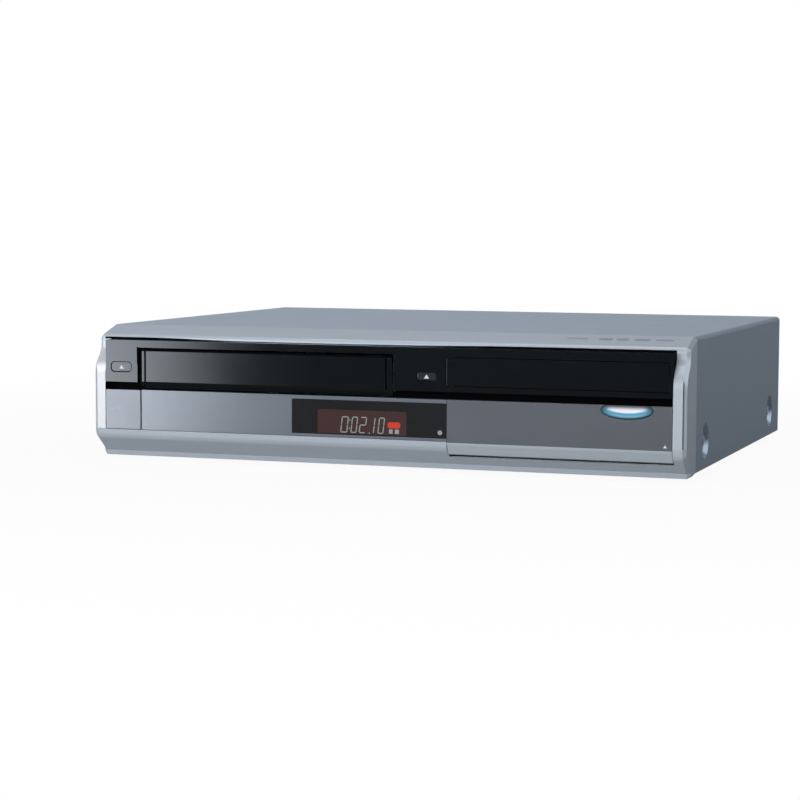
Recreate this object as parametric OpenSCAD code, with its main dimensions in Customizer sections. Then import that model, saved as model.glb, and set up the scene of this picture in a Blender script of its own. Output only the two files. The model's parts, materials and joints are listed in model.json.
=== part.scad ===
// Home video deck with a tape bay on the left, a disc tray on the right and a hard drive behind it.
// Every piece is placed from the front panel's plane (y = 0, rearwards positive), from the middle
// of the width and from the floor; at_front() then centres the depth on the origin.

/* [Overall] */
// Overall width
body_w = 430; // [428:1:440]
// Overall height with its feet
body_h = 96.5; // [96:0.5:102]
// Depth of the steel cover
cover_d = 322.6; // [320:0.2:340]
// Depth of the moulded front, from the panels to the seam with the cover
fascia_d = 32; // [31:0.5:36]
// How far the round sockets stand out behind the cover
socket_reach = 8; // [6:0.5:10]
// Height of the cover's lower edge above the floor
cover_lift = 5.3; // [4.5:0.1:7]
// Height of the moulded front's lower lip above the floor
fascia_lift = 3; // [2.5:0.1:4]

/* [Sheet metal] */
// Thickness of the bent steel cover
cover_t = 0.8; // [0.6:0.1:1]
// Outer radius of the cover's two long bends
bend_r = 3; // [2:0.5:5]
// Thickness of the bottom chassis and the rear panel
chassis_t = 1; // [0.8:0.1:1.2]
// Depth of the round screw dimples in the cover's sides
dimple_depth = 3; // [2.4:0.1:3.4]
// Radius of a screw dimple at the cover's surface
dimple_r = 12.5; // [9:0.5:14]
// Height of the screw dimples above the cover's lower edge
dimple_z = 19; // [16:0.5:24]
// Distance of the front dimples from the cover's front edge
dimple_front = 31.1; // [28:0.1:40]
// Distance of the rear dimples from the cover's rear edge
dimple_rear = 40.4; // [36:0.1:50]
// Step of the cover's rear edge behind the rear panel
rear_inset = 1; // [0.5:0.1:2]
// Height of the chassis side flanges
flange_h = 32; // [30:1:40]
// Radius of a foot
foot_r = 12; // [8:0.5:15]
// Distance of each foot's centre from the side
foot_side = 45; // [35:1:60]
// Distance of the feet from the cover's front and rear edges
foot_end = 40; // [30:1:60]

/* [Moulded front] */
// Wall of the silver moulding
wall = 2.5; // [2:0.1:3]
// Drop of the brow from the seam to its nose
brow_drop = 6.5; // [5:0.1:7]
// Distance of the brow's nose behind the panels
nose_back = 10; // [8:0.5:12]
// Height of the nose's flat face
nose_h = 9; // [7:0.5:10]
// Radius of the brow's nose
nose_r = 3; // [2.8:0.1:4]
// Radius of the soft turn under the nose
shoulder_r = 10; // [6:0.5:10]
// Drop of the pillars' knee below the foot of the nose's flat face
knee_drop = 11.4; // [9:0.1:15]
// Radius of the pillars' knee
knee_r = 16; // [8:0.5:16]
// Width of each side pillar
pillar_w = 9; // [7:0.5:11]
// Bevel along the moulding's two ends
edge_bevel = 2.4; // [1:0.1:3]
// Height at which the vertical face turns into the chin
chin_z = 21.1; // [20:0.1:23]
// Radius between the vertical face and the chin
chin_r = 10; // [6:0.5:12]
// Height of the lower lip
lip_h = 3.6; // [2.5:0.1:4.5]

/* [Front panels] */
// Gap between neighbouring panels and around buttons
gap = 0.3; // [0.2:0.05:0.5]
// Thickness of the front panels
panel_t = 2.5; // [2:0.1:2.6]
// Lower edge of the lower panels
panel_low = 23.5; // [22.5:0.1:25]
// Lower edge of the black groove across the front
groove_low = 51.8; // [51:0.1:53]
// Height of the black groove
groove_h = 5.3; // [4:0.1:6]
// Depth of the black groove
groove_d = 6; // [5:0.1:7]
// Gap between the brow and the top edge of the black panel
brow_shadow = 1.3; // [0.3:0.1:1.5]
// Drop of the black panel's top edge below the brow's nose
panel_drop = 3; // [2:0.1:3.5]
// Width of the square power button
power_w = 27.2; // [24:0.1:30]
// Gap round the tape flap and beside the power button
front_gap = 1; // [0.5:0.1:1.2]
// Width of the display window
window_w = 112.8; // [100:0.1:120]
// Silver strip above the display window
window_top = 2.5; // [2:0.1:4]
// Silver strip below the display window
window_foot = 1.8; // [1.5:0.1:3]
// Width of the flip-down door over the front sockets
jack_door_w = 155.2; // [150:0.1:157]
// Width of the tape eject button
tape_button_w = 15.8; // [12:0.1:17]
// Width of the disc eject button
disc_button_w = 13.6; // [11:0.1:15]
// Height of the tape eject button
tape_button_h = 7; // [5:0.1:8]
// Height of the disc eject button
disc_button_h = 5.4; // [4.6:0.1:7]
// Travel of the front buttons
press = 1; // [0.6:0.1:1.2]

/* [Tape bay] */
// Width of the cassette door
tape_door_w = 190.4; // [190.4:0.1:192]
// Distance of the cassette door from the black panel's left end
tape_door_x = 26; // [25:0.1:27]
// Height of the cassette door's hinge axis below the opening's top edge
tape_hinge_z = 3; // [2.8:0.1:3.4]
// Thickness of the cassette door
tape_door_t = 2; // [1.6:0.1:2.2]
// Width of a tape cassette
cassette_w = 188; // [187:0.5:188]
// Depth of a tape cassette
cassette_d = 104; // [103:0.5:104]
// Height of a tape cassette
cassette_h = 25; // [24.5:0.1:25]
// Thickness of the sheet that holds the cassette
holder_t = 1.2; // [1:0.1:1.5]
// How far the carriage takes the cassette in
carriage_travel = 50; // [44:1:52]
// How far the cassette is then lowered
holder_travel = 22; // [20:0.5:22.5]

/* [Tape deck] */
// Height of the deck plate above the chassis floor
deck_lift = 20; // [18:0.5:20.5]
// Thickness of the deck plate
deck_t = 1.5; // [1:0.1:2]
// Depth of the deck plate
deck_d = 234; // [228:1:236]
// Radius of the head drum
drum_r = 31; // [30:0.5:32]
// Tilt of the head drum
drum_tilt = 5; // [0:0.5:6]
// Distance between the two reel axes
reel_gap = 92; // [88:1:95]
// Radius of the capstan shaft
capstan_r = 2; // [1.5:0.1:2.5]
// Radius of the capstan flywheel
flywheel_r = 26; // [20:1:28]

/* [Disc drive] */
// Width of the disc tray's front cover
tray_front_w = 153.4; // [150:0.1:154]
// Distance of the tray front from the black panel's right end
tray_front_x = 2.4; // [2:0.1:3]
// Height of the tray front
tray_front_h = 19.4; // [18:0.1:19.6]
// Width of the sliding tray
tray_w = 130; // [127:1:132]
// Depth of the sliding tray
tray_d = 157; // [155:1:160]
// Height of the sliding tray
tray_h = 8; // [7:0.1:8.2]
// Radius of a disc
disc_r = 60; // [60:0.1:60.4]
// How far the tray slides out
tray_travel = 130; // [110:1:132]
// Depth of the disc drive
drive_d = 182; // [180:1:186]
// Tooth size of the two rack drives
gear_module = 0.8; // [0.7:0.05:0.9]
// Teeth on the two rack pinions
pinion_teeth = 20; // [18:2:22]
// Travel of the optical sled
sled_travel = 35; // [30:1:36]

/* [Boards and drives] */
// Height of the boards above the chassis floor
board_lift = 5.7; // [4:0.1:7]
// Thickness of the circuit boards
board_t = 1.6; // [1.2:0.1:2]
// Width of the hard drive
hdd_w = 147; // [146:0.5:147]
// Depth of the hard drive
hdd_d = 101.6; // [100:0.2:102]
// Height of the hard drive
hdd_h = 26.1; // [20:0.1:26.1]
// Outer radius of a round video or audio socket's barrel
rca_r = 4.15; // [4:0.05:4.3]
// Side of the square cooling fan
fan_size = 60; // [50:1:62]
// Depth of the cooling fan
fan_d = 15; // [12:0.5:20]

/* [Hidden] */
$fn = 48;

// Colours of the finishes
silver = [0.68, 0.71, 0.75];
light_silver = [0.80, 0.82, 0.85];
cover_grey = [0.52, 0.56, 0.61];
gloss_black = [0.05, 0.06, 0.06];
door_grey = [0.33, 0.35, 0.38];
steel = [0.70, 0.71, 0.72];
board_green = [0.10, 0.32, 0.16];

// Clearances
running = 0.05;   // radial clearance of a pin or shaft in its bore
clear = 0.3;      // clearance between pieces that move past each other
cut = 1;          // how far a cutting solid runs past the face that it cuts

// Body
half_w = body_w / 2;
body_d = fascia_d + cover_d + socket_reach;
cover_y0 = fascia_d + gap;
cover_y1 = fascia_d + cover_d;
floor_z = cover_lift + chassis_t;
flange_x = half_w - dimple_depth - cover_t;
rear_y0 = cover_y1 - rear_inset - chassis_t;
rear_y1 = cover_y1 - rear_inset;
roof_z = body_h - cover_t;
dimple_ys = [cover_y0 + dimple_front, cover_y1 - dimple_rear];
foot_ys = [cover_y0 + foot_end, cover_y1 - foot_end];
shank_r = 1.5;
head_r = 3.6;
head_h = 1.8;

// Moulded front
nose_z = body_h - brow_drop;
brow_angle = atan(brow_drop / (fascia_d - nose_back));
shoulder_run = nose_back;
nose_foot = nose_z - nose_h;
pillar_knee = nose_foot - knee_drop;
panel_high = nose_z - panel_drop;
chin_foot_z = fascia_lift + lip_h;
chin_foot_y = chin_z - chin_foot_z;
panel_half = half_w - pillar_w - gap;
opening_half = half_w - pillar_w;
opening_top = panel_high + brow_shadow;
groove_top = groove_low + groove_h;
bezel_t = panel_t;
groove_wall = 2.2;

// Front layout
power_x0 = -panel_half;
power_x1 = power_x0 + power_w;
lower_x0 = power_x1 + front_gap;
jack_door_x1 = panel_half;
jack_door_x0 = jack_door_x1 - jack_door_w;
lower_x1 = jack_door_x0 - gap;
window_x1 = lower_x1;
window_x0 = window_x1 - window_w;
window_z0 = panel_low + window_foot;
window_z1 = groove_low - window_top;
tape_x0 = -panel_half + tape_door_x;
tape_x1 = tape_x0 + tape_door_w;
tape_mid = (tape_x0 + tape_x1) / 2;
tape_top = groove_top + 23.6;
tape_slot_z = groove_low + 0.5;
tray_front_x1 = panel_half - tray_front_x;
tray_front_x0 = tray_front_x1 - tray_front_w;
tray_mid = (tray_front_x0 + tray_front_x1) / 2;
tray_front_z0 = groove_top + 4.1;
tray_front_z1 = tray_front_z0 + tray_front_h;
tape_button_x = (power_x0 + tape_x0) / 2 - 0.8;
tape_button_z = groove_top + 10.7;
disc_button_x = (tape_x1 + tray_front_x0) / 2 + 5.4;
disc_button_z = groove_top + 10.1;
tape_pad = [tape_button_w, tape_button_h];
disc_pad = [disc_button_w, disc_button_h];
button_back = bezel_t + 3.4;
front_board_y = 10.5;
post_r = 2;

// Five operation buttons on the brow: middle, width and length along the slope
top_keys = [[134.8, 14.5, 2.2], [154.5, 9, 3.6], [166.2, 8.4, 3.6], [179.6, 10.6, 3.6], [194.9, 12, 2.2]];
key_y = fascia_d - 8;
key_z = body_h - (fascia_d - key_y) * tan(brow_angle);
key_proud = 0.2;
key_travel = 0.6;
key_shelf_x0 = top_keys[0][0] - 14;

// Tape bay, at rest with the carriage forward and the holder up
cassette_side = 0.8;
holder_x0 = tape_mid - cassette_w / 2 - cassette_side - holder_t;
holder_x1 = tape_mid + cassette_w / 2 + cassette_side + holder_t;
holder_y0 = fascia_d + 1;
holder_y1 = holder_y0 + cassette_d + 2;
holder_floor = tape_slot_z + 2.2;
holder_roof = holder_floor + cassette_h + 1.5;
guide_pin_r = 2;
carriage_t = 1.2;
carriage_gap = 0.8;
side_frame_t = 1.2;
rail_pin_z = holder_roof + holder_t + 2.4;
carriage_pin_ys = [holder_y0 + 28, holder_y0 + 78];
holder_pin_z = holder_roof - 10;
deck_z = floor_z + deck_lift;
deck_top = deck_z + deck_t;
deck_y0 = holder_y0 + 5;
deck_y1 = deck_y0 + deck_d;
deck_x0 = holder_x0 - 8;
deck_x1 = holder_x1 + 8;
reel_y = holder_y0 + 96;
drum_y = deck_y1 - drum_r - 6;
drum_x = tape_mid - 10;
capstan_x = tape_mid + 72;
capstan_y = holder_y1 + carriage_travel + 14;
carriage_x0 = holder_x0 - carriage_gap - carriage_t;
carriage_x1 = holder_x1 + carriage_gap + carriage_t;
frame_x0 = carriage_x0 - carriage_gap - side_frame_t;
frame_x1 = carriage_x1 + carriage_gap + side_frame_t;
side_frame_y0 = holder_y0 + 12;
side_frame_y1 = holder_y0 + 96 + carriage_travel;

// Rack drives
pitch_r = gear_module * pinion_teeth / 2;
tooth_pitch = PI * gear_module;
backlash = 0.12;
rack_face = 3;

// Disc drive
drive_y0 = 14;
drive_y1 = drive_y0 + drive_d;
drive_z0 = groove_top - 0.1;
drive_t = 1.5;
drive_x0 = tray_mid - 74.5;
drive_x1 = tray_mid + 74.5;
drive_z1 = drive_z0 + 27;
tray_y0 = bezel_t + 0.8;
tray_y1 = tray_y0 + tray_d;
tray_z0 = drive_z0 + 9;
tray_z1 = tray_z0 + tray_h;
seat_z = tray_z0 + 3.5;
tray_x0 = tray_mid - tray_w / 2;
tray_x1 = tray_mid + tray_w / 2;
disc_y = tray_y0 + 12 + disc_r;
well_half = 29.5;
rack_x = tray_x0 + 7;
tray_gear_x = rack_x + pitch_r;
tray_gear_y = drive_y0 + 14;
hinge_r = 1.5;
traverse_z = drive_z0 + 1;
traverse_t = 1.5;
traverse_y1 = drive_y1 - 18;
traverse_hinge_y = traverse_y1 - 2;
traverse_hinge_z = traverse_z + 0.9;
traverse_half = 46.5;
turntable_r = 13.5;
sled_y0 = disc_y + turntable_r + 2;
sled_y1 = sled_y0 + 23.5;
rod_x = 22.5;
rod_z = traverse_z + traverse_t + 2.6;
rod_r = 1.5;
bridge_z = tray_z1 + 5.5;
shelf_t = 1.2;

// Front sockets behind the flip-down door
socket_wall_y = 12;
socket_z = 37;
front_rca_x = jack_door_x0 + 22;
rca_step = 14;
front_round_x = front_rca_x + 3 * rca_step + 3;
pivot_y = 7.2;
pivot_z = panel_low - 6.5;
lip_back = 4.2;
lip_low = panel_low - 9.3;
lip_gap = 1.5;
hinge_pin_r = 1.1;
lug_r = 1.7;

// Rear sockets
board_z = floor_z + board_lift;
board_top = board_z + board_t;
rear_rca_x = tray_mid - 36;
rear_rca_zs = [board_top + 12.4, board_top + 26.4, board_top + 40.4];
rear_block_d = 22;
tuner_x0 = tray_mid + 42;
fan_x = 8;
fan_z = floor_z + 42;
inlet_x = -half_w + 31;
inlet_z = floor_z + 24;
bridge_x0 = drive_x0 - 6;
bridge_x1 = drive_x1 + 6;

// ---------------------------------------------------------------- shared shapes

// Puts pieces that are placed from the front panel's plane into the part's own frame
module at_front() translate([0, -body_d / 2, 0]) children();

// A block from three [low, high] ranges
module block(x, y, z) {
    translate([x[0], y[0], z[0]]) cube([x[1] - x[0], y[1] - y[0], z[1] - z[0]]);
}

// A cylinder along Y from y0 to y1
module rod_y(x, y0, y1, z, r) translate([x, y0, z]) rotate([-90, 0, 0]) cylinder(r = r, h = y1 - y0);

// A cylinder along X from x0 to x1
module rod_x_axis(x0, x1, y, z, r) translate([x0, y, z]) rotate([0, 90, 0]) cylinder(r = r, h = x1 - x0);

// An upright cylinder from z0 to z1
module post(x, y, z0, z1, r) translate([x, y, z0]) cylinder(r = r, h = z1 - z0);

// A rounded block seen from the front: range in x and z with corner radius r, thickness along y
module front_pad(x, y, z, r) {
    block([x[0] + r, x[1] - r], y, z);
    block(x, y, [z[0] + r, z[1] - r]);
    for (cx = [x[0] + r, x[1] - r], cz = [z[0] + r, z[1] - r]) rod_y(cx, y[0], y[1], cz, r);
}

// Replaces each corner [y, z, r] of an outline with an arc of radius r
function unit(v) = v / norm(v);
function fillet(a, b, c, r, steps = 5) =
    let (u = unit([a[0] - b[0], a[1] - b[1]]), w = unit([c[0] - b[0], c[1] - b[1]]),
        half = acos(u * w) / 2, mid = unit(u + w), reach = r / sin(half),
        centre = [b[0], b[1]] + mid * reach, start = -u * r / tan(half), turn = 180 - 2 * half,
        from = [b[0], b[1]] - start - centre, side = sign(from[1] * u[0] - from[0] * u[1]))
    [for (i = [0 : steps]) let (t = side * turn * i / steps)
        centre + [from[0] * cos(t) - from[1] * sin(t), from[0] * sin(t) + from[1] * cos(t)]];
function rounded(points) = [for (i = [0 : len(points) - 1])
    let (n = len(points), p = points[i])
    each p[2] == 0 ? [[p[0], p[1]]] : fillet(points[(i + n - 1) % n], p, points[(i + 1) % n], p[2])];

// Moves every edge of a closed outline inwards by d; the outline runs clockwise
function inset(points, d) = [for (i = [0 : len(points) - 1])
    let (n = len(points), a = points[(i + n - 1) % n], b = points[i], c = points[(i + 1) % n],
        u = unit(b - a), w = unit(c - b), nu = [u[1], -u[0]], nw = [w[1], -w[0]])
    b + (nu + nw) * d / (1 + nu * nw)];

// An outline in y and z, extruded along x
module along_x(x0, x1) {
    translate([x0, 0, 0]) rotate([90, 0, 90]) linear_extrude(x1 - x0) children();
}

// Involute tooth: half of its angle at radius r
function inv(a) = tan(a) * 180 / PI - a;
function tooth_half(r) = 90 / pinion_teeth * (1 - backlash) + inv(20)
    - inv(acos(min(1, pitch_r * cos(20) / r)));
module pinion_2d() {
    root = pitch_r - 1.2 * gear_module;
    tip = pitch_r + 0.9 * gear_module;
    flank = [max(root, pitch_r * cos(20)), pitch_r, pitch_r + 0.5 * gear_module, tip];
    circle(r = root);
    for (i = [0 : pinion_teeth - 1]) rotate(i * 360 / pinion_teeth)
        polygon(concat([[0, 0]], [for (r = flank) r * [cos(tooth_half(r)), -sin(tooth_half(r))]],
            [for (k = [3 : -1 : 0]) flank[k] * [cos(tooth_half(flank[k])), sin(tooth_half(flank[k]))]]));
}

// Rack teeth that point along +x from the pitch line x = 0, centred on y = 0 every pitch
module rack_2d(first, last) {
    foot = tooth_pitch / 4 * (1 - backlash) + 1.2 * gear_module * tan(20);
    tip = tooth_pitch / 4 * (1 - backlash) - 0.9 * gear_module * tan(20);
    for (i = [first : last]) translate([0, i * tooth_pitch]) polygon([[-1.2 * gear_module, -foot],
        [0.9 * gear_module, -tip], [0.9 * gear_module, tip], [-1.2 * gear_module, foot]]);
    translate([-1.2 * gear_module - rack_face, (first - 0.5) * tooth_pitch])
        square([rack_face + 0.05, (last - first + 1) * tooth_pitch]);
}

// Pan-head screw pointing down from its seat at the origin
module screw(length) {
    difference() {
        cylinder(r = head_r, h = head_h);
        for (a = [0, 90]) rotate(a) translate([-2.2, -0.4, head_h - 1]) cube([4.4, 0.8, 1 + cut]);
    }
    translate([0, 0, -length]) cylinder(r = shank_r, h = length);
}

// ---------------------------------------------------------------- case

// Cross-section of the bent cover or its inside, open at the bottom
module bent_sheet_2d(half, top, foot, r) {
    translate([-half, foot]) square([2 * half, top - foot - r]);
    translate([-half + r, top - 2 * r]) square([2 * (half - r), 2 * r]);
    for (s = [-1, 1]) translate([s * (half - r), top - r]) circle(r = r);
}

// Places children at each screw dimple with +z pointing out of the cover's side
module at_dimples() {
    for (s = [-1, 1], y = dimple_ys) translate([s * (half_w - dimple_depth), y, cover_lift + dimple_z])
        rotate([0, s * 90, 0]) children();
}

module dimple() {
    flat = dimple_r - 1.2 * dimple_depth;
    rotate_extrude() polygon([[shank_r + 0.2, 0], [flat, 0], [dimple_r, dimple_depth],
        [dimple_r, dimple_depth - cover_t], [flat + 0.5, -cover_t], [shank_r + 0.2, -cover_t]]);
}

module top_cover() at_front() color(cover_grey) {
    difference() {
        translate([0, cover_y1, 0]) rotate([90, 0, 0]) linear_extrude(cover_y1 - cover_y0) difference() {
            bent_sheet_2d(half_w, body_h, cover_lift, bend_r);
            bent_sheet_2d(half_w - cover_t, roof_z, cover_lift - cut, bend_r - cover_t);
        }
        at_dimples() translate([0, 0, -cut]) cylinder(r = dimple_r - 0.3, h = dimple_depth + 2 * cut);
    }
    at_dimples() dimple();
}

module bottom_chassis() at_front() color(steel) difference() {
    union() {
        block([-flange_x, flange_x], [cover_y0, rear_y1], [cover_lift, floor_z]);
        for (s = [-1, 1]) block([s * flange_x - (s > 0 ? chassis_t : 0),
            s * flange_x + (s > 0 ? 0 : chassis_t)],
            [cover_y0, rear_y0], [cover_lift, cover_lift + flange_h]);
        block([-flange_x, flange_x], [cover_y0, cover_y0 + chassis_t], [cover_lift, cover_lift + 9]);
    }
    at_dimples() translate([0, 0, -6]) cylinder(r = shank_r + 0.1, h = 8);
    for (x = [-150 : 12 : -30], y = [cover_y1 - 62, cover_y1 - 38])
        block([x - 2.5, x + 2.5], [y - 9, y + 9], [cover_lift - cut, floor_z + cut]);
    for (s = [-1, 1], y = foot_ys) post(s * (half_w - foot_side), y, cover_lift - cut, floor_z + cut, 2);
}

module feet() at_front() color([0.08, 0.08, 0.09]) for (s = [-1, 1], y = foot_ys)
    translate([s * (half_w - foot_side), y, 0]) {
        rotate_extrude() polygon([[3.5, 0], [foot_r - 1.5, 0], [foot_r - 0.5, 0.6], [foot_r, 2],
            [foot_r - 1, cover_lift], [0, cover_lift], [0, 2], [3.5, 2]]);
        translate([0, 0, cover_lift - 0.5]) cylinder(r = 1.8, h = chassis_t + 0.5);
    }

module rear_panel() at_front() color(steel) difference() {
    translate([0, rear_y1, 0]) rotate([90, 0, 0]) linear_extrude(rear_y1 - rear_y0)
        bent_sheet_2d(half_w - cover_t - gap, roof_z - gap, floor_z, bend_r - cover_t);
    for (z = rear_rca_zs, i = [0 : 2]) rod_y(rear_rca_x + i * rca_step, rear_y0 - cut, rear_y1 + cut,
        z, rca_r + 1.6);
    for (z = rear_rca_zs) rod_y(rear_rca_x - rca_step, rear_y0 - cut, rear_y1 + cut, z, 6.2);
    for (z = rear_rca_zs) block([rear_rca_x + 3 * rca_step - 6, rear_rca_x + 3 * rca_step + 11],
        [rear_y0 - cut, rear_y1 + cut], [z - 4.5, z + 4.5]);
    for (z = [board_top + 14, board_top + 36]) rod_y(tuner_x0 + 15, rear_y0 - cut, rear_y1 + cut, z, 6);
    block([inlet_x - 12.3, inlet_x + 12.3], [rear_y0 - cut, rear_y1 + cut], [inlet_z - 8.3,
        inlet_z + 8.3]);
    for (k = [-3 : 3]) let (reach = sqrt(pow(fan_size / 2 - 4, 2) - pow(k * 7, 2)), z = fan_z + k * 7) {
        block([fan_x - reach, fan_x - 2], [rear_y0 - cut, rear_y1 + cut], [z - 2.2, z + 2.2]);
        block([fan_x + 2, fan_x + reach], [rear_y0 - cut, rear_y1 + cut], [z - 2.2, z + 2.2]);
    }
    for (p = rear_screw_places) rod_y(p[0], rear_y0 - cut, rear_y1 + cut, p[1], shank_r + 0.2);
}

rear_screw_places = [for (s = [-1, 1], z = [floor_z + 13, roof_z - 10]) [s * (flange_x - 7), z]];

module screws() at_front() color([0.62, 0.63, 0.65]) {
    at_dimples() screw(3.5);
    for (p = rear_screw_places) translate([p[0], rear_y1, p[1]]) rotate([-90, 0, 0]) screw(5);
}

// ---------------------------------------------------------------- moulded front

// Side outline of the silver moulding, clockwise from the top rear corner, left open behind
function moulding(rear) = rounded([[rear, body_h + (rear - fascia_d) * tan(brow_angle), 0],
    [rear, fascia_lift, 0], [chin_foot_y + 1.2, fascia_lift, 0], [chin_foot_y, chin_foot_z, 0],
    [0, chin_z, chin_r], [0, pillar_knee, knee_r], [shoulder_run, nose_foot, shoulder_r], [nose_back,
        nose_z, nose_r]]);

// The outline as a bar across the full width with both ends bevelled
module moulding_bar() {
    outline = moulding(fascia_d + 6);
    small = inset(outline, edge_bevel);
    n = len(outline);
    xs = [-half_w, -half_w + edge_bevel, half_w - edge_bevel, half_w];
    rings = [small, outline, outline, small];
    points = [for (s = [0 : 3], p = rings[s]) [xs[s], p[0], p[1]]];
    sides = [for (s = [0 : 2], i = [0 : n - 1]) let (j = (i + 1) % n, a = s * n, b = a + n)
        each [[a + i, a + j, b + j], [a + i, b + j, b + i]]];
    ends = [[for (i = [n - 1 : -1 : 0]) i], [for (i = [0 : n - 1]) 3 * n + i]];
    polyhedron(points, concat(sides, ends), convexity = 6);
}

// Puts children on the brow's slope at x, with z along the slope's normal
module on_brow(x) translate([x, key_y, key_z]) rotate([brow_angle, 0, 0]) children();

// Rounded outline of an operation button, seen along its travel
module key_2d(w, l, grow) {
    r = l * 0.4 + grow;
    for (s = [-1, 1], t = [-1, 1]) translate([s * (w / 2 + grow - r),
        t * (l / 2 + grow - r)]) circle(r = r);
    square([w + 2 * grow - 2 * r, l + 2 * grow], center = true);
    square([w + 2 * grow, l + 2 * grow - 2 * r], center = true);
}

module fascia_frame() at_front() color(light_silver) difference() {
    moulding_bar();
    along_x(-half_w + wall, half_w - wall) polygon(inset(moulding(fascia_d + 12), wall));
    block([-half_w - cut, half_w + cut], [fascia_d, fascia_d + 20], [0, body_h + 20]);
    block([-opening_half, opening_half], [-cut, fascia_d + cut], [panel_low - gap, opening_top]);
    block([jack_door_x0 - gap, opening_half], [-cut, pivot_y + 6], [lip_low - lip_gap, panel_low]);
    for (k = top_keys) on_brow(k[0]) translate([0, 0,
        -wall - 4]) linear_extrude(wall + 6) key_2d(k[1], k[2], 0.25);
}

module upper_bezel() at_front() color(gloss_black) difference() {
    union() {
        block([-panel_half, panel_half], [0, bezel_t], [groove_top, panel_high]);
        block([-panel_half, panel_half], [0, nose_back + 2], [panel_high - 2, panel_high]);
        for (s = [-1, 1]) block([s * panel_half - (s > 0 ? 2 : 0), s * panel_half + (s > 0 ? 0 : 2)],
            [0, nose_back + 2], [groove_top, panel_high]);
        block([-panel_half, panel_half], [0, groove_d + groove_wall], [groove_top, groove_top + 2]);
        block([-panel_half, panel_half], [groove_d, groove_d + groove_wall], [groove_low - 1.5,
            groove_top + 2]);
        block([key_shelf_x0, panel_half], [0, fascia_d - 1], [panel_high - 2, panel_high]);
        for (x = [tape_x0 - front_gap - 4, tape_x1 + front_gap]) block([x, x + 4], [0, 7.5],
            [tape_top - tape_hinge_z - 3, tape_top + 2]);
        for (x = [tape_button_x - 6.5, tape_button_x + 6.5, disc_button_x - 9, disc_button_x + 9])
            rod_y(x, 1, front_board_y, tape_button_z + 9.5, post_r);
    }
    block([tape_x0 - front_gap, tape_x1 + front_gap], [-cut, nose_back + 3],
        [tape_slot_z, tape_top + front_gap]);
    block([tray_front_x0 - gap, tray_front_x1 + gap], [-cut, nose_back + 3],
        [tray_front_z0 - gap, tray_front_z1 + gap]);
    eject_pad(tape_button_x, tape_button_z, tape_pad, [-cut, bezel_t + cut], gap);
    eject_pad(disc_button_x, disc_button_z, disc_pad, [-cut, bezel_t + cut], gap);
    rod_x_axis(tape_x0 - front_gap - 3, tape_x1 + front_gap + 3, tape_hinge_y,
        tape_top - tape_hinge_z, hinge_r + running);
}

tape_hinge_y = 4.5;

module eject_pad(x, z, size, y, grow) {
    half = size / 2 + [grow, grow];
    front_pad([x - half[0], x + half[0]], y, [z - half[1], z + half[1]], size[1] * 0.36 + grow);
}

// Front button with a stem that reaches to the switch behind it
module eject_button(x, z, size) {
    eject_pad(x, z, size, [0.5, bezel_t + 0.8], 0);
    rod_y(x, 1, button_back, z, 2.2);
}
module tape_eject_button() at_front() color(door_grey) eject_button(tape_button_x, tape_button_z,
    tape_pad);
module disc_eject_button() at_front() color(door_grey) eject_button(disc_button_x, disc_button_z,
    disc_pad);

module power_button() at_front() color(light_silver) {
    block([power_x0, power_x1], [0, panel_t], [panel_low, groove_low - gap]);
    block([power_x0 + 1, power_x1 - 1], [panel_t - 0.1, panel_t + 1], [panel_low + 1, groove_low - 2]);
    rod_y((power_x0 + power_x1) / 2, 1, button_back, (panel_low + groove_low) / 2, 2.6);
}

module lower_panel() at_front() color(silver) difference() {
    union() {
        block([lower_x0, lower_x1], [0, panel_t], [panel_low, groove_low]);
        block([lower_x0, lower_x1], [0, groove_d - gap], [groove_low - 1.5, groove_low]);
        for (x = [lower_x0 + 12, (lower_x0 + window_x0) / 2, window_x0 - 8]) for (z = [panel_low + 4,
            groove_low - 7])
            rod_y(x, 1, front_board_y, z, post_r);
        for (x = [window_x0 + 4, window_x1 - 6]) rod_y(x, panel_t, front_board_y, panel_low + 1.5, 1.2);
        block([window_x0 - 1, window_x1], [panel_t - 0.5, panel_t + 1.6], [panel_low, window_z0 + 1]);
    }
    block([window_x0, window_x1 + cut], [-cut, panel_t], [window_z0, window_z1]);
}

module display_window() at_front() color([0.10, 0.11, 0.12])
    block([window_x0 + 0.1, window_x1], [0.2, panel_t - 0.1], [window_z0 + 0.1, window_z1 - 0.1]);

module display_tube() at_front() color([0.25, 0.30, 0.30]) {
    front_pad([window_x0 + 16, window_x0 + 88], [panel_t + 2, panel_t + 6.5], [window_z0 - 0.2,
        window_z1 - 5], 1);
    block([window_x0 + 17, window_x0 + 87], [panel_t + 6.4, front_board_y], [window_z0 + 1,
        window_z0 + 4]);
    block([window_x0 + 17, window_x0 + 87], [panel_t + 6.4, front_board_y], [window_z1 - 10,
        window_z1 - 7]);
}

module top_key(k) at_front() color(door_grey) on_brow(k[0])
    translate([0, 0, -wall - 0.5]) linear_extrude(wall + 0.5 + key_proud) key_2d(k[1], k[2], 0);
module top_button_1() top_key(top_keys[0]);
module top_button_2() top_key(top_keys[1]);
module top_button_3() top_key(top_keys[2]);
module top_button_4() top_key(top_keys[3]);
module top_button_5() top_key(top_keys[4]);

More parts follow.
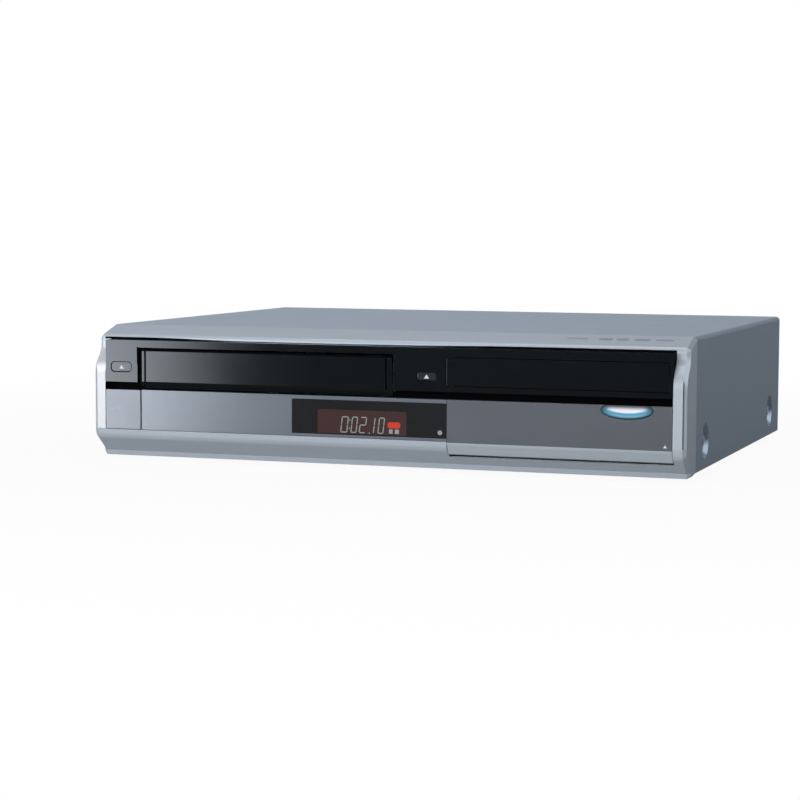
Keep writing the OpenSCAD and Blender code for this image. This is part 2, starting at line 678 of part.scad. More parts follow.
module cassette_door() at_front() color(gloss_black) {
    foot = tape_slot_z + 0.5;
    bend = groove_top + 0.6;
    difference() {
        along_x(tape_x0, tape_x1) polygon([[0.9, tape_top], [tape_door_t + 0.9, tape_top],
            [tape_door_t + 0.9, bend + 0.6], [6.6, foot], [4.6, foot], [0.9, bend]]);
        for (x = [tape_x0 + 4.4, tape_x1 - 4.6]) block([x, x + 1.1], [0, 1.7], [foot, tape_top + cut]);
    }
    block([tape_x0 + 5.5, tape_x1 - 4.6], [0.4, 1.5], [bend, tape_top - 0.6]);
    for (x = [tape_x0, tape_x1 - 4]) {
        block([x, x + 4], [1, tape_hinge_y], [tape_top - tape_hinge_z - 2.4,
            tape_top - tape_hinge_z + 2.4]);
        rod_x_axis(x, x + 4, tape_hinge_y, tape_top - tape_hinge_z, 2.4);
    }
    rod_x_axis(tape_x0 - 2.5, tape_x0 + 1, tape_hinge_y, tape_top - tape_hinge_z, hinge_r);
    rod_x_axis(tape_x1 - 1, tape_x1 + 2.5, tape_hinge_y, tape_top - tape_hinge_z, hinge_r);
}

// Oval at the top of the flip-down door: width, depth and the height of its middle below the edge
crescent_w = 35;
crescent_h = 8.8;
crescent_sink = 3.2;
crescent_x = jack_door_x1 - 30.5;
jack_door_z1 = groove_low;

module crescent(y, grow) {
    half_x = crescent_w / 2 + grow;
    half_z = crescent_h - crescent_sink + grow;
    translate([crescent_x, y[1], jack_door_z1 - crescent_sink]) rotate([90, 0, 0])
        linear_extrude(y[1] - y[0])
        polygon([for (a = [0 : 6 : 354]) [half_x * cos(a), half_z * sin(a)]]);
}

module jack_door() at_front() color(door_grey) {
    lug_inner = [jack_door_x0 + 8.3, jack_door_x1 - 11.3];
    difference() {
        union() {
            along_x(jack_door_x0, jack_door_x1) polygon(rounded([[panel_t, jack_door_z1, 0],
                [panel_t, panel_low, 0], [6.2, lip_low, 0], [lip_back, lip_low, 0.8],
                [0, panel_low - 1.7, 6], [0, jack_door_z1, 0]]));
            for (x = lug_inner) rod_x_axis(x, x + 3, pivot_y, pivot_z, 2.6);
        }
        crescent([-cut, panel_t + cut], 0);
        for (x = lug_inner) rod_x_axis(x - cut, x + 3 + cut, pivot_y, pivot_z, hinge_pin_r + running);
    }
}

module notch_light() at_front() color([0.75, 0.86, 0.95]) intersection() {
    crescent([0.3, panel_t], -0.1);
    block([jack_door_x0, jack_door_x1], [0, panel_t + cut], [panel_low, jack_door_z1]);
}

// Black wall behind the flip-down door with the lugs that carry the door
module front_jack_plate() at_front() color([0.09, 0.09, 0.10]) {
    difference() {
        block([jack_door_x0, jack_door_x1], [socket_wall_y, socket_wall_y + 2], [pivot_z + 2, groove_low]);
        for (i = [0 : 2]) rod_y(front_rca_x + i * rca_step, socket_wall_y - cut, socket_wall_y + 3,
            socket_z, rca_r + 1.5);
        rod_y(front_round_x, socket_wall_y - cut, socket_wall_y + 3, socket_z, 5.2);
        block([card_x0, card_x0 + 24.6], [socket_wall_y - cut, socket_wall_y + 3], [socket_z - 9,
            socket_z - 6.4]);
    }
    block([card_x0 - 2, card_x0 + 26.6], [socket_wall_y + 2, socket_wall_y + 24], [socket_z - 13,
        socket_z - 9.2]);
    block([card_x0 - 2, card_x0 + 26.6], [socket_wall_y + 2, socket_wall_y + 24], [socket_z - 6.2,
        socket_z - 4.5]);
    for (x = [card_x0 - 2, card_x0 + 24.8]) block([x, x + 1.8], [socket_wall_y + 2, socket_wall_y + 24],
        [socket_z - 13, socket_z - 4.5]);
    block([jack_door_x0 + 4, jack_door_x1 - 4], [groove_d + groove_wall, socket_wall_y + 0.5],
        [groove_low - 3, groove_low]);
    for (x = [jack_door_x0 + 5, jack_door_x1 - 8]) {
        rod_x_axis(x, x + 3, pivot_y, pivot_z, lug_r);
        block([x, x + 3], [pivot_y - lug_r, pivot_y + lug_r], [pivot_z, pivot_z + 4.5]);
        block([x, x + 3], [pivot_y, socket_wall_y + 0.5], [pivot_z + 2, pivot_z + 4.5]);
    }
    rod_x_axis(jack_door_x0 + 7, jack_door_x0 + 11, pivot_y, pivot_z, hinge_pin_r);
    rod_x_axis(jack_door_x1 - 11, jack_door_x1 - 7, pivot_y, pivot_z, hinge_pin_r);
}

card_x0 = jack_door_x0 + 96;

module control_boards() at_front() color(board_green) {
    y1 = front_board_y + board_t;
    block([-panel_half + 1.5, lower_x1 - 2], [front_board_y, y1], [chin_z - 4.6, groove_low - 2]);
    block([tape_button_x - 8.9, tape_button_x + 8.9], [front_board_y, y1], [tape_button_z - 6,
        tape_button_z + 12]);
    block([disc_button_x - 11.5, disc_button_x + 11.5], [front_board_y, y1], [tape_button_z - 6,
        tape_button_z + 12]);
    for (b = [[tape_button_x, tape_button_z], [disc_button_x, disc_button_z],
        [(power_x0 + power_x1) / 2, (panel_low + groove_low) / 2]])
        block([b[0] - 3, b[0] + 3], [button_back + press + 0.1, front_board_y + 0.1], [b[1] - 3,
            b[1] + 3]);
    block([key_shelf_x0 + 1, panel_half - 3], [15, fascia_d - 2], [panel_high, panel_high + 1.2]);
    for (k = top_keys) post(k[0], key_y, panel_high + 1.1, panel_high + 2.6, 2.4);
    rod_y(window_x1 - 4, panel_t + 1.5, front_board_y + 0.1, panel_low + 6, 2.6);
    block([-60, 30], [y1 - 0.1, y1 + 2.5], [groove_low - 16, groove_low - 8]);
}

// ---------------------------------------------------------------- sockets

// Round socket whose mouth points along +y, from its seat at y
module rca(x, y, z, reach) {
    difference() {
        union() {
            rod_y(x, y, y + 1.5, z, rca_r + 1.2);
            rod_y(x, y, y + reach, z, rca_r);
        }
        rod_y(x, y + reach - 7, y + reach + cut, z, 1.7);
    }
}

// One front socket and a column of three rear sockets of one colour
module rca_set(column) {
    translate([front_rca_x + column * rca_step, socket_wall_y, socket_z]) rotate([0, 0, 180])
        rca(0, -2, 0, socket_wall_y - panel_t - 1 + 2);
    for (z = rear_rca_zs) rca(rear_rca_x + column * rca_step, rear_y0 - 0.4, z, body_d - rear_y0 + 0.4);
}
module video_jacks() at_front() color([0.85, 0.72, 0.12]) rca_set(0);
module left_jacks() at_front() color([0.90, 0.90, 0.88]) rca_set(1);
module right_jacks() at_front() color([0.75, 0.10, 0.10]) rca_set(2);

// Round socket for the separated video signal: a collar with a plug hole
module round_socket(x, y, z, depth) {
    difference() {
        rod_y(x, y, y + depth, z, 5.6);
        rod_y(x, y + depth - 7, y + depth + cut, z, 4.4);
    }
}

module jack_housings() at_front() color([0.07, 0.07, 0.08]) {
    difference() {
        union() {
            block([front_rca_x - 7, front_round_x + 7], [socket_wall_y + 2, socket_wall_y + 15],
                [socket_z - 9, socket_z + 7]);
            rod_y(front_round_x, socket_wall_y - 1.5, socket_wall_y + 3, socket_z, 4.9);
        }
        rod_y(front_round_x, socket_wall_y - 2, socket_wall_y + 7, socket_z, 4.2);
    }
    for (z = rear_rca_zs) {
        block([rear_rca_x - 7, rear_rca_x + 2 * rca_step + 7], [rear_y0 - rear_block_d,
            rear_y0 - 0.4], [z - 6.9, z + 6.9]);
        block([rear_rca_x - rca_step - 6.8, rear_rca_x - rca_step + 6.6], [rear_y0 - rear_block_d,
            rear_y0 - 7],
            [z - 6.9, z + 6.9]);
        round_socket(rear_rca_x - rca_step, rear_y0 - 7.1, z, rear_y1 - rear_y0 + 8);
    }
    block([rear_rca_x - rca_step - 6.8, rear_rca_x + 2 * rca_step + 7], [rear_y0 - rear_block_d,
        rear_y0 - 12],
        [board_top, rear_rca_zs[0] - 6.8]);
}

// Flat sockets for the digital leads, stacked beside the round ones
module digital_sockets() at_front() color([0.30, 0.31, 0.33]) for (z = rear_rca_zs) {
    x0 = rear_rca_x + 3 * rca_step - 5.6;
    difference() {
        block([x0, x0 + 16.2], [rear_y0 - 14, rear_y1 + 0.4], [z - 4.1, z + 4.1]);
        block([x0 + 1.2, x0 + 15], [rear_y1 - 10, rear_y1 + cut], [z - 2.9, z + 2.4]);
    }
    block([x0 + 3.5, x0 + 12.7], [rear_y1 - 10.5, rear_y1 - 1], [z - 0.6, z + 0.5]);
    block([x0 + 1, x0 + 15.2], [rear_y0 - 14, rear_y0 - 4],
        [z == rear_rca_zs[0] ? board_top : z - 9.9, z - 4]);
}

module ac_inlet() at_front() color([0.08, 0.08, 0.08]) {
    difference() {
        union() {
            block([inlet_x - 12, inlet_x + 12], [rear_y0 - 16, rear_y1 + 1], [inlet_z - 8, inlet_z + 8]);
            block([inlet_x - 15, inlet_x + 15], [rear_y1, rear_y1 + 1.5], [inlet_z - 10, inlet_z + 10]);
        }
        front_pad([inlet_x - 8.3, inlet_x + 8.3], [rear_y1 - 12, rear_y1 + 3], [inlet_z - 4,
            inlet_z + 4], 3.9);
    }
    for (s = [-1, 1]) rod_y(inlet_x + s * 4.4, rear_y1 - 12.5, rear_y1 - 1, inlet_z, 1.2);
    block([inlet_x - 11, inlet_x + 11], [rear_y0 - 15, rear_y0 - 1], [board_top, inlet_z - 7.9]);
}

module tuner_box() at_front() color(steel) {
    block([tuner_x0, tuner_x0 + 26], [rear_y0 - 36, rear_y0], [board_top, board_top + 47]);
    for (z = [board_top + 14, board_top + 36]) difference() {
        union() {
            rod_y(tuner_x0 + 15, rear_y0 - 1, rear_y0 + 3, z, 5.6);
            rod_y(tuner_x0 + 15, rear_y0, body_d, z, 4.7);
        }
        rod_y(tuner_x0 + 15, body_d - 6, body_d + cut, z, 2.8);
    }
}

// ---------------------------------------------------------------- disc drive

module drive_frame() at_front() color([0.16, 0.16, 0.17]) {
    well_y0 = 46;
    difference() {
        union() {
            block([drive_x0, drive_x1], [drive_y0, drive_y1], [drive_z0, drive_z0 + drive_t]);
            block([drive_x0, drive_x1], [drive_y1 - drive_t, drive_y1], [drive_z0, drive_z1]);
            for (s = [-1, 1]) {
                block(side_range(s, 74.5 - drive_t, 74.5), [drive_y0, drive_y1], [drive_z0, drive_z1]);
                block(side_range(s, tray_w / 2 + clear, 74), [drive_y0 + 2, tray_y1 + 4],
                    [tray_z0 - 3, tray_z0 - clear]);
                block(side_range(s, tray_w / 2 - 2, 74), [drive_y0 + 2, tray_y1 + 4], [tray_z0 - 2,
                    tray_z0 - clear]);
                block(side_range(s, tray_w / 2 + clear, 74), [drive_y0 + 2, tray_y1 + 4],
                    [tray_z0 - 1, tray_z1 + 2]);
                block(side_range(s, tray_w / 2 - 2, 74), [drive_y0 + 2, tray_y1 + 4],
                    [tray_z1 + clear, tray_z1 + 2]);
            }
            block([drive_x0, drive_x1], [drive_y0, drive_y0 + drive_t], [drive_z0, tray_z0 - 5]);
            post(tray_gear_x, tray_gear_y, drive_z0, tray_z0 - 3.6, 4.4);
            post(tray_gear_x, tray_gear_y, drive_z0, tray_z0 - 0.8, capstan_r);
            for (s = [-1, 1]) block(side_range(s, traverse_half + 2, traverse_half + 6),
                [traverse_hinge_y - 4, traverse_hinge_y + 4], [drive_z0, traverse_hinge_z + 4]);
        }
        rod_x_axis(tray_mid - traverse_half - 7, tray_mid + traverse_half + 7, traverse_hinge_y,
            traverse_hinge_z,
            hinge_r + running);
        block([tray_mid - traverse_half - 2, tray_mid + traverse_half + 2], [well_y0, traverse_y1 + 2],
            [drive_z0 - cut, drive_z0 + drive_t + cut]);
        post(tray_mid - 20, drive_y0 + 14, drive_z0 - cut, drive_z0 + drive_t + cut, 4);
    }
}

// The x range of a strip between two distances from the drive's middle, on one side
function side_range(s, near, far) = s > 0 ? [tray_mid + near, tray_mid + far] : [tray_mid - far,
    tray_mid - near];

module drive_cover() at_front() color(steel) difference() {
    union() {
        block([drive_x0, drive_x1], [drive_y0, drive_y1], [drive_z1, drive_z1 + 1]);
        block([tray_mid - 40, tray_mid + 40], [disc_y - 14, disc_y + 14], [bridge_z, bridge_z + 1.5]);
        for (x = [tray_mid - 40, tray_mid + 38.8]) block([x, x + 1.2], [disc_y - 14, disc_y + 14],
            [bridge_z, drive_z1 + 0.5]);
    }
    post(tray_mid, disc_y, bridge_z - cut, bridge_z + 2, 9.8);
}

module clamper() at_front() color([0.90, 0.90, 0.88]) translate([tray_mid, disc_y, 0]) difference() {
    union() {
        post(0, 0, tray_z1 + 2.2, bridge_z - clear, 15);
        post(0, 0, bridge_z - 1, bridge_z + 2, 9.4);
        post(0, 0, bridge_z + 1.5 + clear, bridge_z + 3, 12);
    }
    post(0, 0, tray_z1 + 1, tray_z1 + 5, 7.6);
}

module disc_tray() at_front() color([0.12, 0.12, 0.13]) difference() {
    union() {
        difference() {
            block([tray_x0, tray_x1], [tray_y0, tray_y1], [tray_z0, tray_z1]);
            post(tray_mid, disc_y, seat_z, tray_z1 + cut, disc_r + 0.8);
            post(tray_mid, disc_y, seat_z - 1, tray_z1 + cut, 40.6);
            block([tray_mid - 14, tray_mid + 14], [tray_y0 + 6, tray_y0 + 20], [seat_z, tray_z1 + cut]);
        }
        translate([rack_x, tray_gear_y, tray_z0 - 3]) linear_extrude(3.1) rack_2d(0, rack_last);
    }
    block([tray_mid - well_half, tray_mid + well_half], [disc_y - 20, tray_y1 - 4], [tray_z0 - cut,
        tray_z1 + cut]);
}
rack_last = floor((tray_y1 - tray_gear_y) / tooth_pitch - 0.5);

module tray_front() at_front() color(gloss_black) {
    block([tray_front_x0, tray_front_x1], [0.4, bezel_t], [tray_front_z0, tray_front_z1]);
    block([tray_front_x0 + 1, tray_front_x1 - 1], [bezel_t - 0.1, tray_y0], [tray_front_z0 + 1,
        tray_front_z1 - 1]);
}

module tray_gear() at_front() color([0.88, 0.87, 0.82]) translate([tray_gear_x, tray_gear_y,
    0]) difference() {
    union() {
        translate([0, 0, tray_z0 - 3.3]) linear_extrude(2.8) rotate(180 / pinion_teeth) pinion_2d();
        post(0, 0, tray_z0 - 3.4, tray_z0 - 3.2, 4);
    }
    post(0, 0, tray_z0 - 5, tray_z0, capstan_r + running);
}

module tray_motor() at_front() color(steel) {
    x = tray_mid - 20;
    y = drive_y0 + 14;
    post(x, y, drive_z0 - 11, drive_z0, 10.5);
    post(x, y, drive_z0 - 0.5, drive_z0 + 5, 1);
    post(x, y, drive_z0 + 2, drive_z0 + 4.5, 3.2);
}

module traverse_base() at_front() color([0.35, 0.36, 0.38]) {
    top = traverse_z + traverse_t;
    difference() {
        union() {
            block([tray_mid - traverse_half, tray_mid + traverse_half], [disc_y + 14, traverse_y1],
                [traverse_z, top]);
            block([tray_mid - 26.5, tray_mid + 26.5], [disc_y - 18, disc_y + 15], [traverse_z, top]);
            post(tray_mid, disc_y, traverse_z - 3, top, 11);
            for (s = [-1, 1], y = [sled_y0 - 5, sled_y1 + sled_travel + 1])
                block([tray_mid + s * rod_x - 3, tray_mid + s * rod_x + 3], [y, y + 3], [traverse_z,
                    rod_z + 2.4]);
        }
        post(tray_mid, disc_y, traverse_z - 4, top + cut, shaft_r + running);
        block([tray_mid - 18.5, tray_mid + 18.5], [sled_y0 - 1, sled_y1 + sled_travel + 1],
            [traverse_z - cut, top + cut]);
        for (y = [sled_y0 - 5, sled_y1 + sled_travel + 1])
            rod_y(tray_mid + rod_x, y - cut, y + 3 + cut, rod_z, rod_r + running);
    }
    rod_y(tray_mid - rod_x, sled_y0 - 4, sled_y1 + sled_travel + 3, rod_z, rod_r);
    rod_x_axis(tray_mid - traverse_half - 6, tray_mid + traverse_half + 6, traverse_hinge_y,
        traverse_hinge_z, hinge_r);
}
shaft_r = 1.5;

module turntable() at_front() color([0.20, 0.20, 0.21]) translate([tray_mid, disc_y, 0]) {
    top = traverse_z + traverse_t;
    post(0, 0, traverse_z - 2.9, top + 3, shaft_r);
    post(0, 0, top + 2.4, top + 3.8, turntable_r);
    translate([0, 0, top + 3.7]) cylinder(r1 = 7.4, r2 = 5.5, h = 2.2);
    post(0, 0, top + 0.4, top + 2.5, 6);
}

module laser_sled() at_front() color([0.45, 0.46, 0.48]) {
    half = 16.5;
    z0 = traverse_z + traverse_t + 0.6;
    block([tray_mid - half, tray_mid + half], [sled_y0, sled_y1], [z0, z0 + 4]);
    difference() {
        union() {
            block([tray_mid - rod_x - 2.8, tray_mid - half + 0.1], [sled_y0 + 3, sled_y1 - 3], [z0,
                z0 + 4.2]);
            block([tray_mid + half - 0.1, tray_mid + rod_x + 2.8], [sled_y0 + 8, sled_y1 - 8], [z0,
                z0 + 4.2]);
        }
        rod_y(tray_mid - rod_x, sled_y0, sled_y1, rod_z, rod_r + running);
        rod_y(tray_mid + rod_x, sled_y0, sled_y1, rod_z, rod_r + running);
    }
    post(tray_mid, sled_y0 + 7, z0 + 3.9, z0 + 4.6, 5);
    translate([tray_mid, sled_y0 + 7, z0 + 4.4]) cylinder(r1 = 3, r2 = 2, h = 0.7);
}

module sled_screw() at_front() color([0.75, 0.66, 0.35]) {
    rod_y(tray_mid + rod_x, sled_y0 - 5.5, sled_y1 + sled_travel + 4.5, rod_z, rod_r);
    rod_y(tray_mid + rod_x, sled_y1 + sled_travel + 4.3, sled_y1 + sled_travel + 6.5, rod_z, 2.3);
}

module hard_drive() at_front() color([0.55, 0.56, 0.58]) {
    y0 = drive_y1 + 10;
    x0 = tray_mid - hdd_w / 2;
    z0 = drive_z0;
    block([x0, x0 + hdd_w], [y0, y0 + hdd_d], [z0, z0 + hdd_h - 4]);
    block([x0 + 2, x0 + hdd_w - 2], [y0 + 2, y0 + hdd_d - 2], [z0 + hdd_h - 4.1, z0 + hdd_h - 1]);
    post(x0 + 95, y0 + hdd_d / 2, z0 + hdd_h - 1.1, z0 + hdd_h, 40);
    post(x0 + 28, y0 + hdd_d / 2 - 20, z0 + hdd_h - 1.1, z0 + hdd_h, 9);
    for (x = [x0 + 5, x0 + hdd_w - 5], y = [y0 + 5, y0 + hdd_d - 5]) post(x, y, z0 + hdd_h - 1.1,
        z0 + hdd_h - 0.3, 2.4);
}

// Steel bridge that carries both drives over the main board
module drive_brackets() at_front() color(steel) difference() {
    y0 = drive_y0 + 28;
    y1 = drive_y1 + hdd_d + 14;
    union() {
        block([bridge_x0, bridge_x1], [y0, y1], [drive_z0 - shelf_t, drive_z0]);
        for (x = [bridge_x0, bridge_x1 - shelf_t]) block([x, x + shelf_t], [y0, y1], [floor_z, drive_z0]);
        block([bridge_x0 - 7, bridge_x0 + shelf_t], [y0, y1], [floor_z, floor_z + shelf_t]);
    }
    block([tray_mid - traverse_half - 3, tray_mid + traverse_half + 3], [y0 + 8, drive_y1 - 12],
        [drive_z0 - 3, drive_z0 + cut]);
    block([tray_mid - 50, tray_mid + 50], [drive_y1 + 20, y1 - 16], [drive_z0 - 3, drive_z0 + cut]);
}

// ---------------------------------------------------------------- tape deck

module deck_chassis() at_front() color(steel) difference() {
    union() {
        block([deck_x0, deck_x1], [deck_y0, deck_y1], [deck_z, deck_top]);
        for (x = [deck_x0 + 6, deck_x1 - 6], y = [deck_y0 + 8, deck_y1 - 8]) post(x, y, floor_z,
            deck_z + 0.5, 4);
        for (x = [tape_mid - reel_gap / 2, tape_mid + reel_gap / 2]) post(x, reel_y, deck_z,
            deck_top + 3, 2.5);
        post(capstan_x, capstan_y, deck_z - 6, deck_top + 8, 4.5);
        post(pinch_x, pinch_y, deck_z, deck_top + 20, 2.5);
    }
    post(capstan_x, capstan_y, deck_z - 7, deck_top + 9, capstan_r + running);
    post(tape_mid, reel_y + 4, deck_z - cut, deck_top + cut, 14);
    post(drum_x, drum_y, deck_z - cut, deck_top + cut, 16);
    block([deck_x0 + 20, deck_x0 + 60], [deck_y0 + 14, deck_y0 + 50], [deck_z - cut, deck_top + cut]);
    block([deck_x1 - 60, deck_x1 - 20], [deck_y0 + 14, deck_y0 + 50], [deck_z - cut, deck_top + cut]);
}
pinch_x = capstan_x + 20;
pinch_y = capstan_y + 22;

// Side plates that guide the carriage; each stands on the deck plate
module deck_side_frames() at_front() color(steel) {
    for (x = [frame_x0, frame_x1 - side_frame_t]) difference() {
        union() {
            block([x, x + side_frame_t], [side_frame_y0, side_frame_y1], [deck_top, rail_pin_z + 5]);
            block([x < tape_mid ? x - 4 : x, (x < tape_mid ? x : x + 4) + side_frame_t],
                [side_frame_y0, side_frame_y1], [deck_top, deck_top + 1.2]);
        }
        block([x - cut, x + side_frame_t + cut],
            [carriage_pin_ys[0] - guide_pin_r - clear,
                carriage_pin_ys[1] + carriage_travel + guide_pin_r + clear],
            [rail_pin_z - guide_pin_r - running, rail_pin_z + guide_pin_r + running]);
        block([x - cut, x + side_frame_t + cut], [side_frame_y0 + 20, side_frame_y1 - 20],
            [deck_top + 12, rail_pin_z - 12]);
    }
    rod_x_axis(frame_x1 - 0.4, frame_x1 + 6, loading_y, loading_z, capstan_r);
}
loading_y = holder_y0 + 20 + carriage_travel;
loading_z = rail_pin_z + 4 - pitch_r - 1.2 * gear_module;
rack_line_z = loading_z + pitch_r;

module cassette_carriage() at_front() color([0.62, 0.63, 0.66]) {
    z0 = holder_pin_z - holder_travel - 5;
    for (s = [0, 1]) {
        x = s == 0 ? carriage_x0 : carriage_x1 - carriage_t;
        difference() {
            block([x, x + carriage_t], [holder_y0 + 8, holder_y0 + 96], [z0, rail_pin_z + 3]);
            for (y = holder_pin_ys) block([x - cut, x + carriage_t + cut],
                [y - guide_pin_r - running, y + guide_pin_r + running],
                [holder_pin_z - holder_travel - guide_pin_r - 0.2, holder_pin_z + guide_pin_r + 0.2]);
        }
        for (y = carriage_pin_ys) rod_x_axis(s == 0 ? x - 2.6 : x,
            s == 0 ? x + carriage_t : x + carriage_t + 2.6,
            y, rail_pin_z, guide_pin_r);
    }
    for (y = [holder_y0 + 10, holder_y0 + 84]) block([carriage_x0, carriage_x1], [y, y + 8],
        [holder_roof + holder_t + 0.4, holder_roof + holder_t + 1.6]);
    block([carriage_x1 - carriage_t, frame_x1 + 4.6], [holder_y0 + 8, holder_y0 + 96],
        [rail_pin_z + 5.4, rail_pin_z + 6.6]);
    block([carriage_x1 - carriage_t, carriage_x1], [holder_y0 + 8, holder_y0 + 96], [rail_pin_z + 2,
        rail_pin_z + 6.6]);
    translate([frame_x1 + 1.2, loading_y, rack_line_z]) rotate([0, 90, 0])
        linear_extrude(3.4) rack_2d(-carriage_rack, 1);
}
holder_pin_ys = [holder_y0 + 22, holder_y0 + 86];
carriage_rack = ceil(carriage_travel / tooth_pitch) + 1;

module cassette_holder() at_front() color([0.66, 0.67, 0.68]) {
    y = [holder_y0, holder_y1];
    difference() {
        union() {
            for (x = [holder_x0, holder_x1 - holder_t]) block([x, x + holder_t], y,
                [holder_floor - holder_t, holder_roof + holder_t]);
            block([holder_x0, holder_x0 + 14], y, [holder_floor - holder_t, holder_floor]);
            block([holder_x1 - 14, holder_x1], y, [holder_floor - holder_t, holder_floor]);
            block([holder_x0, holder_x1], y, [holder_roof, holder_roof + holder_t]);
        }
        block([holder_x0 + 30, holder_x1 - 30], [holder_y0 + 24, holder_y1 - 24], [holder_roof - cut,
            holder_roof + 3]);
    }
    for (py = holder_pin_ys) {
        rod_x_axis(holder_x0 - 2.6, holder_x0 + 0.6, py, holder_pin_z, guide_pin_r);
        rod_x_axis(holder_x1 - 0.6, holder_x1 + 2.6, py, holder_pin_z, guide_pin_r);
    }
}

module reel(x) at_front() color([0.85, 0.85, 0.82]) translate([x, reel_y, 0]) {
    base = deck_top + clear;
    difference() {
        union() {
            post(0, 0, base, base + 1.6, 19);
            post(0, 0, base, base + 5.5, 12);
            post(0, 0, base, base + 15, 5.2);
            for (a = [0, 120, 240]) rotate(a) block([4, 7.2], [-0.9, 0.9], [base + 5, base + 13]);
        }
        post(0, 0, base - cut, base + 3.3, 2.5 + running);
    }
}
module supply_reel() reel(tape_mid - reel_gap / 2);
module takeup_reel() reel(tape_mid + reel_gap / 2);

module on_drum() at_front() translate([drum_x, drum_y, deck_top + 6]) rotate([drum_tilt, 0, 0]) children();

module drum_base() color([0.60, 0.61, 0.62]) {
    on_drum() difference() {
        union() {
            cylinder(r = drum_r, h = 20);
            cylinder(r = 3.5, h = 23);
        }
        translate([0, 0, -cut]) cylinder(r = 2.4 + running, h = 30);
    }
    at_front() difference() {
        block([drum_x - drum_r - 4, drum_x + drum_r + 4], [drum_y - 20, drum_y + 20], [deck_top,
            deck_top + 7]);
        post(drum_x, drum_y, deck_top - cut, deck_top + 12, 17);
    }
}

module drum_rotor() color([0.82, 0.83, 0.84]) on_drum() {
    difference() {
        union() {
            translate([0, 0, 20.3]) cylinder(r = drum_r, h = 17);
            translate([0, 0, 37]) cylinder(r = 16, h = 4);
        }
        translate([0, 0, 20]) cylinder(r = 3.8, h = 3.4);
        for (a = [0 : 60 : 300]) rotate(a) translate([22, 0, 34]) cylinder(r = 3, h = 4);
    }
    translate([0, 0, -6]) cylinder(r = 2.4, h = 30);
}

module capstan() at_front() color([0.78, 0.78, 0.80]) translate([capstan_x, capstan_y, 0]) {
    post(0, 0, deck_z - 12, deck_top + 38, capstan_r);
    post(0, 0, deck_z - 11, deck_z - 6.4, flywheel_r);
}

// Swinging arm with its rubber roller
module pinch_arm() at_front() color([0.25, 0.25, 0.26]) {
    z = deck_top + 12;
    reach = 24;
    translate([pinch_x, pinch_y, 0]) rotate(pinch_rest) difference() {
        union() {
            post(0, 0, z, z + 5, 5.5);
            block([0, reach], [-2, 2], [z, z + 2.5]);
            post(reach, 0, z, z + 2.5, 4);
            post(reach, 0, z, z + 22, 1.6);
            post(reach, 0, z + 3, z + 19, 7);
        }
        post(0, 0, z - cut, z + 8, 2.5 + running);
    }
}
pinch_rest = 180;

// Fixed guide posts, the full-erase head and the sound head beside the drum
module tape_guides() at_front() color([0.72, 0.73, 0.74]) {
    for (s = [-1, 1]) {
        post(drum_x + s * 45, drum_y - 12, deck_top, deck_top + 40, 3);
        post(drum_x + s * 45, drum_y - 12, deck_top + 39.9, deck_top + 42, 4.2);
        block([drum_x + s * 45 - 6, drum_x + s * 45 + 6], [drum_y - 20, drum_y - 4], [deck_top,
            deck_top + 2]);
    }
    block([drum_x - 66, drum_x - 55], [drum_y - 22, drum_y - 10], [deck_top, deck_top + 34]);
    block([drum_x + 53, drum_x + 60], [drum_y - 30, drum_y - 18], [deck_top, deck_top + 34]);
}

module loading_motor() at_front() color(steel) {
    post(deck_x0 + 20, deck_y1 - 20, deck_top, deck_top + 30, 11);
    post(deck_x0 + 20, deck_y1 - 20, deck_top + 29.9, deck_top + 36, 1.5);
    post(deck_x0 + 20, deck_y1 - 20, deck_top + 31, deck_top + 35, 3.5);
}

module loading_gear() at_front() color([0.88, 0.87, 0.82]) translate([frame_x1 + 1.2, loading_y,
    loading_z])
    rotate([0, 90, 0]) difference() {
        linear_extrude(3.4) rotate(180 / pinion_teeth) pinion_2d();
        translate([0, 0, -cut]) cylinder(r = capstan_r + running, h = 6);
    }

// ---------------------------------------------------------------- boards and fan

module power_board() at_front() color([0.45, 0.35, 0.20]) {
    x0 = -flange_x + 8;
    x1 = fan_x - fan_size / 2 - 14;
    y0 = deck_y1 + 6;
    y1 = rear_y0 - 2;
    block([x0, x1], [y0, y1], [board_z, board_top]);
    for (x = [x0 + 5, x1 - 5], y = [y0 + 5, y1 - 5]) post(x, y, floor_z, board_z, 3);
    block([x0 + 66, x0 + 106], [y0 + 14, y0 + 50], [board_top, board_top + 34]);
    for (i = [0 : 2]) post(x0 + 46, y0 + 14 + i * 18, board_top, board_top + 32, 8);
    for (i = [0 : 3]) block([x0 + 116 + i * 5, x0 + 117.5 + i * 5], [y0 + 8, y1 - 8], [board_top,
        board_top + 38]);
    block([x0 + 116, x0 + 132.5], [y0 + 8, y1 - 8], [board_top, board_top + 2.5]);
}

module main_board() at_front() color(board_green) {
    x0 = bridge_x0 + 3;
    x1 = bridge_x1 - 3;
    y0 = drive_y0 + 34;
    y1 = rear_y0 - 2;
    block([x0, x1], [y0, y1], [board_z, board_top]);
    for (x = [x0 + 5, x1 - 5], y = [y0 + 5, (y0 + y1) / 2, y1 - 5]) post(x, y, floor_z, board_z, 3);
    for (p = [[40, 60, 28], [90, 70, 32], [60, 130, 22], [110, 140, 18], [30, 190, 20]])
        block([x0 + p[0], x0 + p[0] + p[2]], [y0 + p[1], y0 + p[1] + p[2]], [board_top, board_top + 2.2]);
    for (i = [0 : 6]) block([x0 + 91 + i * 5, x0 + 92.5 + i * 5], [y0 + 71, y0 + 101],
        [board_top + 2.1, board_top + 16]);
    block([x0 + 90, x0 + 122], [y0 + 70, y0 + 102], [board_top + 2.1, board_top + 4]);
    for (i = [0 : 4]) post(x0 + 20 + i * 14, y0 + 30, board_top, board_top + 11, 4);
}

